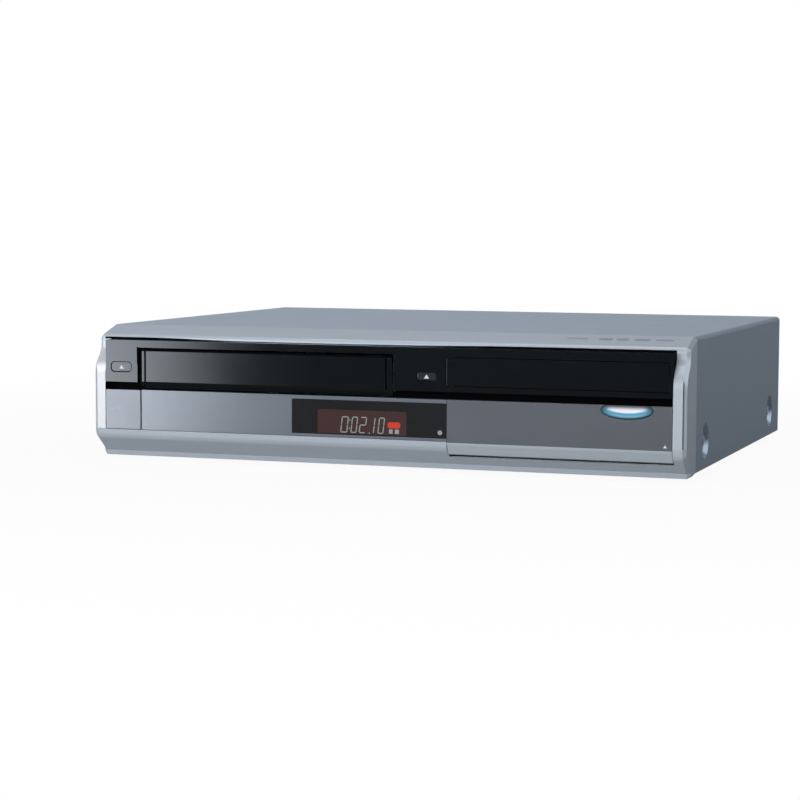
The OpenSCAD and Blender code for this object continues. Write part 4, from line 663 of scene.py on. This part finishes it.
# Keys on the brow: x, width, length
TOP_KEYS = ((134.8, 14.5, 2.2), (154.5, 9.0, 3.6), (166.2, 8.4, 3.6), (179.6, 10.6, 3.6),
            (194.9, 12.0, 2.2))
FLAP_LEFT, FLAP_RIGHT, FLAP_TOP = -181, 12, 82       # edges of the steps round the tape flap
FLAP_HEIGHTS = (50, FLAP_TOP)
DOOR = ((2.5, 51.8), (2.5, 23.5), (6.2, 14.2), (4.2, 14.2), (0, 21.8), (0, 51.8))
DOOR_ROUNDS = ((0, 21.8, 1.52, 8), (4.2, 14.2, 0.8, 4))
DOOR_PIN = (7.2, 17.0)                    # axis of the door's pins: y, z
DOOR_LUG_INSET = 9.8                      # from the door's end to the middle of its lug
OVAL_HALF = (17.5, 5.6)                   # half width and half height of the lit oval
OVAL_SINK = 3.2                           # its middle below the door's top edge
GLOW_Y, GLOW_DEPTH = 0.1, 0.12            # front and thickness of the lit marks


def at_front(x, y, z):
    """A point given in millimetres behind the front plane."""
    return Vector((x * MM, FRONT_Y + y * MM, z * MM))


def front_block(name, x, y, z):
    """A solid block between two values of x, of y and of z, in millimetres as at_front has them."""
    return block(name, at_front(x[0], y[0], z[0]), at_front(x[1], y[1], z[1]))


def bar(name, outline, x0, x1):
    """A bar along the width with this side outline."""
    return drawn(name, [at_front(x0, y, z) for y, z in outline], ((x1 - x0) * MM, 0, 0))


def inset_outline(outline, wall):
    """The same side outline moved inwards by wall, with sharp corners."""
    points = [Vector(point) for point in outline]
    before, after = points[-1:] + points[:-1], points[1:] + points[:1]
    inward = 1 if sum(a.cross(b) for a, b in zip(points, after)) > 0 else -1
    moved = []
    for a, b, c in zip(before, points, after):
        ways = ((b - a).normalized(), (c - b).normalized())
        one, two = (Vector((-way.y, way.x)) * inward for way in ways)
        moved.append(tuple(b + (one + two) * (wall / (1 + one.dot(two)))))
    return moved


def round_corners(piece, rounds):
    """Rounds the edges that run along a bar at these corners of its side outline."""
    for y, z, width_mm, segments in rounds:
        corner, reach = at_front(0, y, z), CORNER_REACH * MM
        bevel_edges(piece, lambda middle, direction: (
            abs(direction.x) > 0.999 and abs(middle.y - corner.y) < reach
            and abs(middle.z - corner.z) < reach), width_mm, segments)


def widen_ends(piece, step):
    """Insets both end faces of a bar and pushes them out, which chamfers its ends."""
    places = [vertex.co.x for vertex in piece.data.vertices]
    for end, way in ((min(places), -1), (max(places), 1)):
        choose(piece, "FACE", lambda face: (
            abs(face.normal.x) > 0.99
            and abs(face.calc_center_median().x - end) < 10 * SAME_POINT))
        bpy.ops.mesh.inset(thickness=step, depth=0)
        bpy.ops.transform.translate(value=(way * step, 0, 0))
        leave_edit(piece)


def keyhole_cutter(x, width, length):
    """A rounded slab a little larger than a key, laid through the slope of the brow."""
    across, along = width / 2 + KEY_GAP, length / 2 + KEY_GAP
    piece = block("keyhole", (-across * MM, -along * MM, -6.5 * MM),
                  (across * MM, along * MM, 2 * MM))
    round_along(piece, "z", length * 0.4 + KEY_GAP, 5)
    piece.rotation_euler = (BROW_ANGLE, 0, 0)
    piece.location = at_front(x, *BROW_MIDDLE)
    return settle(piece)


def model_front_moulding(sizes):
    """The silver moulding: brow with its keyholes, two pillars and the chin with the door's gap."""
    half = edges_of("fascia_frame")[1].x / MM
    inner = half - sizes.end_chamfer / MM
    wall = sizes.wall / MM
    piece = bar("front_moulding", MOULDING, -inner, inner)
    round_corners(piece, MOULDING_ROUNDS)
    widen_ends(piece, sizes.end_chamfer)
    cut(piece,
        bar("room_inside", inset_outline(ROOM_BACK + MOULDING[2:], wall), wall - half, half - wall),
        front_block("open_back", (-half - 1, half + 1), (32, 60), (0, 120)),
        drawn("front_opening", [at_front(x, AHEAD, z) for x, z in OPENING],
              (0, (LIP_Y - AHEAD) * MM, 0)),
        front_block("opening_depth", (-OPENING_HALF, OPENING_HALF), (5, 33),
                    (OPENING_FLOOR, ROOM_TOP)),
        front_block("door_gap", DOOR_GAP_X, (AHEAD, 13.2), (12.7, 23.5)),
        bar("door_relief", ((6.4, 13), (6.4, 11.8), (8.4, 12.6), (8.4, 13)), *DOOR_GAP_X))
    cut(piece, *[keyhole_cutter(*key) for key in TOP_KEYS])
    soften(piece, sizes.edge_break / MM, angle=MOULDING_ANGLE)
    cut(piece, *[front_block("pillar_groove", (x, x + GROOVE_WIDTH), (AHEAD, GROOVE_Y),
                             (PILLAR_LOW + 0.2, PILLAR_HIGH - 0.2))
                 for x in (-inner - 0.8, inner - 0.1)])
    return soften(piece, 0, angle=MOULDING_ANGLE)


def finish_moulding_faces(piece, sizes):
    """Painted shadow round the opening and on the lip behind the brow, a brighter painted-highlight
    silver on the left pillar, painted shade in the right pillar's groove.
    """
    side, edge_x = OPENING_HALF * MM, edges_of("fascia_frame")[1].x - sizes.end_chamfer
    # Painted shadow: the opening's side walls and the lip behind the brow get a matt near-black.
    face_finish(piece, "painted groove shadow", lambda centre, normal: (
        centre.x * normal.x < 0 and abs(abs(centre.x) - side) < 0.4 * MM
        or normal.y < -0.9 and abs(centre.y - at_front(0, LIP_Y, 0).y) < 0.05 * MM
        and 87 * MM < centre.z < 89 * MM))
    # Painted highlight: the left pillar gets a brighter, plainer silver than the right one.
    face_finish(piece, "painted lit silver", lambda centre, normal: (
        centre.x < -side - 0.5 * MM and PILLAR_LOW * MM < centre.z < 82 * MM))
    # Painted shade: the groove in the right pillar gets a darker silver; the left groove keeps the
    # brighter silver.
    face_finish(piece, "painted seam shade", lambda centre, normal: (
        -0.2 * MM < centre.x - edge_x < 0.9 * MM and centre.y > FRONT_Y + 0.2 * MM
        and (PILLAR_LOW + 0.1) * MM < centre.z < (PILLAR_HIGH - 0.1) * MM
        and max(abs(value) for value in normal) > 0.98))


def model_black_panel():
    """The gloss black panel, stepped back round the tape flap, with painted shadow in its gaps:
    matt near-black in the low groove and on the inner walls.
    """
    panel = merged_copy("upper_bezel", "black_panel")
    cut(panel, front_block("flap_step", (FLAP_LEFT - 0.1, FLAP_RIGHT), (AHEAD, 1.4),
                           (70, FLAP_TOP + 0.2)))
    soften(panel, 0.25)
    finish_piece(panel, "main", "gloss black", "upper_bezel")
    groove_top = edges_of("lower_panel")[1].z + 5.4 * MM
    # Painted shadow: faces set back in the low groove, and the inner walls below the top, get a
    # matt near-black.
    face_finish(panel, "painted groove shadow", lambda centre, normal: (
        centre.y > FRONT_Y + 0.2 * MM
        and (centre.z < groove_top or centre.z < 85 * MM and abs(normal.y) < 0.3)))


def model_tape_flap():
    """The tape bay's flap, with a step along its top and left edges and a groove beside them, and
    painted shadow on their walls and floors.
    """
    flap = merged_copy("cassette_door", "tape_flap_plate")
    cut(flap,
        front_block("flap_top_step", (FLAP_LEFT, FLAP_RIGHT), (AHEAD, 1.1), (79.3, FLAP_TOP)),
        front_block("flap_side_step", (FLAP_LEFT, -177.6), (AHEAD, 1.5), FLAP_HEIGHTS),
        front_block("flap_groove", (-175.8, -174.3), (AHEAD, 1.7), FLAP_HEIGHTS))
    soften(flap, 0.3)
    finish_piece(flap, "tape_flap", "gloss black", "cassette_door")
    # Painted shadow: the steps' walls and floors, the groove's floor and the top strip get a matt
    # near-black.
    face_finish(flap, "painted groove shadow", lambda centre, normal: (
        normal.z > 0.5 or abs(normal.x) > 0.5 or centre.z > 79.4 * MM
        or normal.y < -0.9 and centre.y > FRONT_Y + MM and centre.z > 58 * MM))


def model_flip_door(sizes):
    """Flip-down door: a plate that curls under into a lip, with lugs and an arc at its top edge."""
    low, high = edges_of("jack_door")
    x0, x1 = low.x / MM, high.x / MM
    piece = bar("flip_door", DOOR, x0, x1)
    round_corners(piece, DOOR_ROUNDS)
    half_x, half_z = OVAL_HALF[0] + 0.4, OVAL_HALF[1] + 0.5
    oval = cylinder("oval_notch", (0, 0, 0), half_x * MM, 20 * MM, "Y", 160)
    oval.scale = (1, 1, half_z / half_x)
    oval.location = (middle_of("notch_light").x, FRONT_Y, high.z - OVAL_SINK * MM)
    cut(piece, settle(oval))
    for x in (x0 + DOOR_LUG_INSET, x1 - DOOR_LUG_INSET):
        pin = at_front(x, *DOOR_PIN)
        weld(piece, cylinder("lug", pin, 2.6 * MM, 3 * MM, "X", 40))
        cut(piece, cylinder("pin_hole", pin, 1.5 * MM, 5 * MM, "X", 32))
    return soften(piece, 0.7 * sizes.edge_break / MM, angle=30)


def triangle_mark(name, x, z, y, size, thickness=0.15):
    """An eject mark: a small triangle that points up, with broken edges."""
    half, rise = size / 2, size * 0.375
    points = [at_front(x + u, y, z + v) for u, v in ((-half, -rise), (half, -rise), (0, rise))]
    piece = drawn(name, points, (0, thickness * MM, 0))
    return modify(piece, "BEVEL", width=0.04 * MM, segments=2, limit_method="ANGLE")


def standby_mark(x, z, size, y, depth=0.1):
    """Ring with a bar, a slash and a stroke: the plain sign for standby and on."""
    r = size / 2
    ring = turned("ring", ((r, 0), (r, depth), (r - 0.28, depth), (r - 0.28, 0)),
                  at_front(x, y, z), steps=36)
    slash = drawn("slash", [at_front(x + r + 1.3 + u, y, z + v) for u, v in (
        (0, -r), (0.3, -r), (1.4, r), (1.1, r))], (0, depth * MM, 0))
    strokes = [front_block("stroke", (left, left + 0.34), (y, y + depth), (low, z + r))
               for left, low in ((x - 0.17, z - 0.1), (x + r + 4.2, z - r))]
    return gather("power_mark", [ring, slash] + strokes)


def digit_bar(x, z, length, width, upright, slant):
    """One lit bar of a digit, with pointed ends."""
    h, w = length / 2, width / 2
    if upright:
        outline = ((-w, -h + w), (0, -h), (w, -h + w), (w, h - w), (0, h), (-w, h - w))
    else:
        outline = ((-h + w, -w), (h - w, -w), (h, 0), (h - w, w), (-h + w, w), (-h, 0))
    points = [at_front(x + u + (z + v) * slant, GLOW_Y, z + v) for u, v in outline]
    return drawn("digit_bar", points, (0, GLOW_DEPTH * MM, 0))


# The bars of each digit: a, g and d lie at its top, middle and foot, f and e stand at its left,
# b and c at its right
DIGIT_BARS = {"0": "abcdef", "1": "bc", "2": "abged"}


def digit(symbol, x0, x1, z0=26.9, z1=38.2, slant=0.12, width=0.75):
    """The bars of a slanted digit between these edges, in millimetres on the front plane."""
    middle, half_x = (x0 + x1) / 2, (x1 - x0) / 2 - width / 2
    centre, tall = (z0 + z1) / 2, (z1 - z0) / 2 - width / 2
    side = 0 if symbol == "1" else half_x
    places = {"a": (0, tall, 0), "g": (0, 0, 0), "d": (0, -tall, 0), "f": (-side, tall / 2, 1),
              "b": (side, tall / 2, 1), "e": (-side, -tall / 2, 1), "c": (side, -tall / 2, 1)}
    bars = []
    for label in DIGIT_BARS[symbol]:
        dx, dz, upright = places[label]
        length = (tall if upright else 2 * half_x) - 0.15
        bars.append(digit_bar(middle + dx - centre * slant, centre + dz, length, width, upright,
                              slant))
    return bars


def lit_chip(name, x0, x1, z0, z1):
    """A small lit mark in the display, as thick as the digits."""
    return front_block(name, (x0, x1), (GLOW_Y, GLOW_Y + GLOW_DEPTH), (z0, z1))


def model_display():
    """What the window shows: a dim field, the lit digits, a red sign and small marks."""
    field = front_block("display_field", (-43.4, 21.5), (0.14, 0.3), (26.2, 42.6))
    round_along(field, "y", 0.7, 4)
    bars = []
    for symbol, x0, x1 in (("0", -26.1, -20.9), ("0", -18.6, -14.1), ("2", -12.5, -7.6),
                           ("1", -2.7, -0.8), ("0", 1.1, 5.5)):
        bars += digit(symbol, x0, x1)
    bars += [lit_chip("dot", x - 0.35, x + 0.35, z - 0.45, z + 0.45)
             for x, z in ((-19.6, 35.6), (-20.0, 30.0), (-5.4, 27.1))]
    digits = gather("display_digits", bars)
    sign = round_along(lit_chip("display_sign", 7.8, 17.2, 31.0, 35.2), "y", 1.8, 6)
    marks = gather("display_marks", [lit_chip("mark", x0, x1, 27.3, 30.3)
                                     for x0, x1 in ((9.0, 11.6), (13.2, 16.2))])
    # The remote sensor's disc; its pale glow is a painted highlight.
    eye = cylinder("remote_eye", at_front(45.6, 0.16, 29.2), 1.6 * MM, 0.1 * MM, "Y", 40)
    for piece, finish_name in ((field, "display field"), (digits, "display digit"),
                               (sign, "display red"), (marks, "display dim"),
                               (eye, "painted remote eye glint")):
        finish_piece(piece, "main", finish_name)


# ------------------------------------------------------------------ sockets

# Places in millimetres, as at_front has them. Each colour has its own column.
SOCKET_STEP = 14                          # from one column to the next
REAR_SOCKETS_X, REAR_SOCKETS_Y, REAR_SOCKETS_Z = 90.6, 353.6, (26, 40, 54)
FRONT_SOCKET = (72.5, 12, 37)
FRONT_REACH = 8.2                         # how far a front socket's sleeve stands out


def model_socket_set(name, node, column):
    """Three rear sockets and one front socket of one colour, each with its metal sleeve."""
    step = SOCKET_STEP * column
    rear_reach = (edges_of(node)[1].y - REAR_Y) / MM
    places = [((REAR_SOCKETS_X + step, REAR_SOCKETS_Y, z), 1, rear_reach) for z in REAR_SOCKETS_Z]
    x, y, z = FRONT_SOCKET
    places.append(((x + step, y, z), -1, FRONT_REACH))
    inserts, sleeves = [], []
    for place, way, reach in places:
        centre = at_front(*place)
        inserts.append(turned("insert", (
            (2.0, 0.2), (5.0, 0.2), (5.3, 0.5), (5.3, 1.3), (5.0, 1.6), (3.4, 1.6),
            (3.4, reach - 0.9), (3.1, reach - 0.5), (1.9, reach - 0.5), (1.7, reach - 0.8),
            (1.7, 1.2), (2.0, 1.0)), centre, way))
        sleeves.append(turned("sleeve", (
            (3.42, 1.5), (4.15, 1.5), (4.15, reach - 0.4), (3.95, reach), (3.6, reach),
            (3.42, reach - 0.3)), centre, way))
    insert, sleeve = gather(name + "_inserts", inserts), gather(name + "_sleeves", sleeves)
    smooth(insert, 30)
    smooth(sleeve, 30)
    return insert, sleeve


# ------------------------------------------------------------------ stage

CAMERA_PLACE = (0.5162, -1.6147, 0.1769)
CAMERA_TURN = (19.205, 4.754, 0.251)      # degrees: to the left, down, and round its own axis
CAMERA_LENS = 100.5
GROUND_GAP = 0.0002                       # between the feet and the ground


def lamp(name, place, aim, energy, size):
    """A soft lamp at place that shines at aim."""
    data = bpy.data.lights.new(name, "AREA")
    data.energy = energy
    data.shape = "RECTANGLE"
    data.size, data.size_y = size
    light = bpy.data.objects.new(name, data)
    bpy.context.collection.objects.link(light)
    light.location = place
    light.rotation_euler = (Vector(aim) - Vector(place)).to_track_quat("-Z", "Y").to_euler()
    return light


def stage_sheet(name, place, size, material, turn=(0, 0, 0)):
    """A flat sheet of the stage, which isn't part of the deck."""
    nothing_selected()
    bpy.ops.mesh.primitive_plane_add(size=1, rotation=turn)
    sheet = named(bpy.context.object, name)
    sheet.scale = (size[0], size[1], 1)
    sheet.location = place
    settle(sheet)
    sheet.data.materials.append(material)
    return sheet


def card(name, y, x_range, z_range, ramp_range, levels, tints):
    """A reflector card that only gloss sees: its glow changes along x and its tint upwards."""
    material = bpy.data.materials.new(name)
    material.use_nodes = True
    tree = material.node_tree
    tree.nodes.clear()
    axes = object_axes(tree)[1]
    rise = ramp_between(tree, axes["Z"], (-0.09, -0.06), (0.0, 1.0))
    light = added(tree, "Emission", {
        "Color": blend(tree, rise, *tints),
        "Strength": ramp_between(tree, axes["X"], ramp_range, levels)})
    added(tree, "OutputMaterial", {"Surface": light[0]})
    sheet = stage_sheet(name, (sum(x_range) / 2, y, sum(z_range) / 2),
                        (x_range[1] - x_range[0], z_range[1] - z_range[0]), material,
                        (math.pi / 2, 0, 0))
    sheet.visible_camera = sheet.visible_diffuse = sheet.visible_shadow = False


def seen_directly(tree):
    """What Light Path puts out, and a mask of the rays from the camera or through clear parts."""
    rays = added(tree, "LightPath")
    return rays, maths(tree, "MAXIMUM", rays["Is Camera Ray"], rays["Is Transmission Ray"])


def ground_material(reach):
    """White ground: it glows as the backdrop does and keeps a soft shadow near the deck."""
    material = bpy.data.materials.new("white ground")
    material.use_nodes = True
    tree, body = surface_of(material)
    seen = seen_directly(tree)[1]
    place = added(tree, "TexCoord")["Object"]
    away = added(tree, "VectorMath", {0: place}, operation="LENGTH")["Value"]
    fade = ramp_between(tree, away, (reach * 0.3, reach), (0.94, 1.0))
    paper = blend(tree, seen, (0.5, 0.5, 0.5, 1), (0.96, 0.96, 0.96, 1))
    feed(tree, body, {"Roughness": 0.9, "Specular IOR Level": 0.1, "Base Color": paper})
    mixed = added(tree, "MixShader", {0: maths(tree, "MULTIPLY", seen, fade),
                                      1: body.outputs[0], 2: added(tree, "Emission")[0]})
    feed(tree, tree.nodes["Material Output"], {"Surface": mixed[0]})
    return material


def set_world(level, front_level, rear_level):
    """White for the camera and clear parts, plain grey light, and a studio that gloss reflects."""
    world = bpy.context.scene.world = bpy.data.worlds.new("studio")
    world.use_nodes = True
    tree = world.node_tree
    tree.nodes.clear()
    rays, seen = seen_directly(tree)
    axes = added(tree, "SeparateXYZ", {0: added(tree, "TexCoord")["Generated"]})
    # Gloss sees a dim room in front of the deck and the white backdrop behind it, which darkens
    # below the horizon, to the right and high up
    backdrop = ramp_between(tree, axes["Y"], (-0.35, 0.45), (0.0, rear_level - front_level))
    horizon = ramp_between(tree, axes["Z"], (-0.14, 0.06), (0.2, 1.0))
    across = ramp_between(tree, axes["X"], (-0.35, 0.15), (1.0, 0.5))
    high_up = ramp_between(tree, axes["Z"], (0.3, 0.58), (1.0, 0.4))
    falling = maths(tree, "MULTIPLY", maths(tree, "MULTIPLY", horizon, across), high_up)
    room = maths(tree, "MULTIPLY_ADD", backdrop, falling, front_level)
    # It also sees a light ceiling and a light wall at the right
    ceiling = ramp_between(tree, axes["Z"], (0.86, 0.97), (0.0, 1.7))
    right = ramp_between(tree, axes["X"], (0.5, 0.75), (0.0, 2.2))
    raised = ramp_between(tree, axes["Z"], (-0.05, 0.3), (0.0, 1.0))
    bright = maths(tree, "MULTIPLY_ADD", right, raised, ceiling)
    white, cool = (1, 1, 1, 1), (0.88, 0.96, 1.08, 1)
    plain, studio, paper = (
        added(tree, "Background", {"Color": colour, "Strength": strength})[0]
        for colour, strength in ((white, level), (cool, maths(tree, "ADD", room, bright)),
                                 (white, 1.0)))
    lit = added(tree, "MixShader", {0: rays["Is Glossy Ray"], 1: plain, 2: studio})
    shown = added(tree, "MixShader", {0: seen, 1: lit[0], 2: paper})
    added(tree, "OutputWorld", {"Surface": shown[0]})


def set_camera():
    """The camera in front of the deck, a little to its right and above its top."""
    yaw, pitch, roll = (math.radians(turn) for turn in CAMERA_TURN)
    forward = Vector((-math.sin(yaw) * math.cos(pitch), math.cos(yaw) * math.cos(pitch),
                      -math.sin(pitch)))
    right = Vector((math.cos(yaw), math.sin(yaw), 0))
    up = right.cross(forward)
    right, up = (right * math.cos(roll) + up * math.sin(roll),
                 up * math.cos(roll) - right * math.sin(roll))
    data = bpy.data.cameras.new("camera")
    data.lens, data.sensor_width = CAMERA_LENS, 36
    camera = bpy.data.objects.new("camera", data)
    bpy.context.collection.objects.link(camera)
    turn = Matrix((right, up, -forward)).transposed().to_4x4()
    camera.matrix_world = Matrix.Translation(CAMERA_PLACE) @ turn
    bpy.context.scene.camera = camera


# ------------------------------------------------------------------ what a user may change

def length_property(name, description, default_mm):
    """A length that a user may change."""
    return bpy.props.FloatProperty(name=name, description=description, default=default_mm * MM,
                                   min=0.0, unit="LENGTH", precision=5)


def colour_property(name, description, red, green, blue):
    """A colour that a user may change, written 0 to 255 as on a swatch."""
    return bpy.props.FloatVectorProperty(name=name, description=description, size=4,
                                         subtype="COLOR", min=0.0, max=1.0,
                                         default=swatch(red, green, blue))


class VideoDeckSizes(bpy.types.PropertyGroup):
    """Small sizes of the modelled front."""
    edge_break: length_property("Edge break", "Width of the broken edges of the moulding", 0.3)
    end_chamfer: length_property("End chamfer", "Width of the chamfer round both ends", 2.4)
    wall: length_property("Wall", "Thickness of the moulding", 2.5)
    triangle: length_property("Eject mark", "Width of the triangles on the eject buttons", 3.7)


class VideoDeckColours(bpy.types.PropertyGroup):
    """Colours of the finishes that show at the front."""
    moulding: colour_property("Moulding", "Silver of the brow, pillars and chin", 179, 188, 198)
    panel: colour_property("Panel", "Silver of the lower panel", 105, 112, 122)
    key_face: colour_property("Power button", "Silver of the power button", 127, 131, 139)
    cover: colour_property("Cover", "Paint of the top cover", 143, 156, 171)
    black: colour_property("Black panel", "Gloss black of the upper panel", 15, 18, 20)
    window: colour_property("Window", "Smoked display window", 36, 37, 39)
    door: colour_property("Door", "Face of the flip-down door", 94, 99, 107)
    small_key: colour_property("Eject buttons", "Face of both eject buttons", 44, 46, 50)
    top_key: colour_property("Top keys", "Face of the keys on the brow", 150, 158, 165)


# ------------------------------------------------------------------ operators

class VIDEODECK_OT_finishes(bpy.types.Operator):
    """Makes every finish and gives each node its own"""
    bl_idname = "videodeck.finishes"
    bl_label = "Finishes"

    def execute(self, context):
        make_finishes(context.scene.video_deck_colours)
        paint_nodes()
        return {"FINISHED"}


class VIDEODECK_OT_front_moulding(bpy.types.Operator):
    """Models the silver moulding round the front"""
    bl_idname = "videodeck.front_moulding"
    bl_label = "Front moulding"

    def execute(self, context):
        sizes = context.scene.video_deck_sizes
        piece = model_front_moulding(sizes)
        finish_piece(piece, "main", "silver moulding", "fascia_frame")
        finish_moulding_faces(piece, sizes)
        return {"FINISHED"}


class VIDEODECK_OT_black_panel(bpy.types.Operator):
    """Models the gloss black panel with the tape flap, the tray's front and the eject buttons"""
    bl_idname = "videodeck.black_panel"
    bl_label = "Black panel"

    def execute(self, context):
        model_black_panel()
        model_tape_flap()
        dressed("tray_front", "tray_front_plate", "gloss black", 0.35)
        size = context.scene.video_deck_sizes.triangle / MM
        for key in ("tape_eject", "disc_eject"):
            node = key + "_button"
            dressed(node, key + "_key", "key lacquer", 0.5, 3)
            middle = middle_of(node) / MM
            front = (edges_of(node)[0].y - FRONT_Y) / MM
            mark = triangle_mark(key + "_mark", middle.x, middle.z, front - 0.04, size)
            finish_piece(mark, body_of(node), "pale print")
        return {"FINISHED"}


class VIDEODECK_OT_lower_front(bpy.types.Operator):
    """Models the power button, the silver panel and what the display shows"""
    bl_idname = "videodeck.lower_front"
    bl_label = "Lower front"

    def execute(self, context):
        dressed("power_button", "power_key", "silver key", 0.35)
        finish_piece(standby_mark(-200.4, 38.6, 2.8, -0.04), "power_key", "faint print")
        dressed("lower_panel", "silver_panel_plate", "silver panel")
        model_display()
        return {"FINISHED"}


class VIDEODECK_OT_flip_door(bpy.types.Operator):
    """Models the flip-down door with its silver lip and its small mark"""
    bl_idname = "videodeck.flip_door"
    bl_label = "Flip-down door"

    def execute(self, context):
        piece = model_flip_door(context.scene.video_deck_sizes)
        finish_piece(piece, "front_flap", "silver moulding", "jack_door")
        face_finish(piece, "door lacquer",
                    lambda centre, normal: centre.z > 22.6 * MM and normal.y < -0.5)
        mark = triangle_mark("door_mark", 201.0, 25.6, -0.05, 2.6, 0.1)
        finish_piece(mark, "front_flap", "soft print")
        return {"FINISHED"}


class VIDEODECK_OT_top_keys(bpy.types.Operator):
    """Models the five keys on the brow"""
    bl_idname = "videodeck.top_keys"
    bl_label = "Top keys"

    def execute(self, context):
        for number in range(1, len(TOP_KEYS) + 1):
            cap = dressed("top_button_%d" % number, "top_key_cap_%d" % number,
                          "top key lacquer", 0.15)
            # Painted shadow: each key's sides below the rim of its keyhole get a matt near-black.
            face_finish(cap, "painted groove shadow", lambda centre, normal: centre.z < 92.4 * MM)
        return {"FINISHED"}


class VIDEODECK_OT_case(bpy.types.Operator):
    """Models the bent top cover with its pressed dimples, and the feet"""
    bl_idname = "videodeck.case"
    bl_label = "Case"

    def execute(self, context):
        shell = dressed("top_cover", "cover_shell", "cover paint", 0.15, angle=30)
        side_x = edges_of("top_cover")[1].x - 0.1 * MM
        face_finish(shell, "pressed paint", lambda centre, normal: (
            side_x - 2.8 * MM < abs(centre.x) < side_x and centre.z < 50 * MM
            and 0.5 < abs(normal.x) < 0.95))
        dressed("feet", "rubber_feet", "foot rubber", 0.3)
        return {"FINISHED"}


class VIDEODECK_OT_sockets(bpy.types.Operator):
    """Turns the coloured sockets with their metal sleeves"""
    bl_idname = "videodeck.sockets"
    bl_label = "Sockets"

    def execute(self, context):
        for column, (name, colour) in enumerate((("video", "yellow"), ("left", "white"),
                                                 ("right", "red"))):
            node = name + "_jacks"
            insert, sleeve = model_socket_set(name, node, column)
            finish_piece(insert, "main", colour + " insert", node)
            finish_piece(sleeve, "main", "plated screw")
        return {"FINISHED"}


class VIDEODECK_OT_disc_tray(bpy.types.Operator):
    """Models the disc tray with its broken edges"""
    bl_idname = "videodeck.disc_tray"
    bl_label = "Disc tray"

    def execute(self, context):
        dressed("disc_tray", "tray_plate", "tray black", 0.3)
        return {"FINISHED"}


class VIDEODECK_OT_stage(bpy.types.Operator):
    """Sets the ground, the lamps, the backdrop and the camera"""
    bl_idname = "videodeck.stage"
    bl_label = "Stage"

    def execute(self, context):
        low, high = (Vector(corner) for corner in CAD_BOX)
        middle = (low + high) / 2
        ground = stage_sheet("ground", (0, 0, low.z - GROUND_GAP), (14, 14), ground_material(0.9))
        ground.visible_glossy = False
        card("left reflector", -1.7, (-2.2, -0.55), (-0.22, 1.2), (-0.95, -0.772), (7.2, 0.0),
             ((1.0, 1.02, 1.04, 1), (0.88, 0.98, 1.1, 1)))
        set_world(0.28, 0.07, 1.0)
        key = lamp("key lamp", (-0.2, -1.85, 0.3), middle, 31, (1.4, 1.0))
        key.visible_glossy = False
        lamp("top lamp", (-0.3, 0.3, 2.6), middle, 8.5, (2.4, 2.4))
        set_camera()
        context.scene.view_settings.view_transform = "Standard"
        return {"FINISHED"}


STEPS = (VIDEODECK_OT_finishes, VIDEODECK_OT_front_moulding, VIDEODECK_OT_black_panel,
         VIDEODECK_OT_lower_front, VIDEODECK_OT_flip_door, VIDEODECK_OT_top_keys,
         VIDEODECK_OT_case, VIDEODECK_OT_sockets, VIDEODECK_OT_disc_tray, VIDEODECK_OT_stage)


class VIDEODECK_PT_steps(bpy.types.Panel):
    """Lists the steps that model the deck, with its sizes and colours"""
    bl_idname = "VIDEODECK_PT_steps"
    bl_label = "Home video deck"
    bl_space_type = "VIEW_3D"
    bl_region_type = "UI"
    bl_category = "Video deck"

    def draw(self, context):
        column = self.layout.column(align=True)
        for step in STEPS:
            column.operator(step.bl_idname)
        for group in (context.scene.video_deck_sizes, context.scene.video_deck_colours):
            box = self.layout.box()
            for name in group.bl_rna.properties.keys():
                if name not in ("rna_type", "name"):
                    box.prop(group, name)


CLASSES = (VideoDeckSizes, VideoDeckColours) + STEPS + (VIDEODECK_PT_steps,)


def register():
    """Adds the deck's sizes, colours, operators and panel to Blender."""
    for item in CLASSES:
        bpy.utils.register_class(item)
    bpy.types.Scene.video_deck_sizes = bpy.props.PointerProperty(type=VideoDeckSizes)
    bpy.types.Scene.video_deck_colours = bpy.props.PointerProperty(type=VideoDeckColours)


def unregister():
    """Takes them out again."""
    del bpy.types.Scene.video_deck_colours
    del bpy.types.Scene.video_deck_sizes
    for item in reversed(CLASSES):
        bpy.utils.unregister_class(item)


def plain(box):
    """A box as lists of plain numbers."""
    return [[float(value) for value in corner] for corner in box]


def main():
    """Runs every step in order."""
    register()
    bpy.ops.videodeck.finishes()
    bpy.ops.videodeck.front_moulding()
    bpy.ops.videodeck.black_panel()
    bpy.ops.videodeck.lower_front()
    bpy.ops.videodeck.flip_door()
    bpy.ops.videodeck.top_keys()
    bpy.ops.videodeck.case()
    bpy.ops.videodeck.sockets()
    bpy.ops.videodeck.disc_tray()
    bpy.ops.videodeck.stage()


if __name__ == "__main__":
    main()
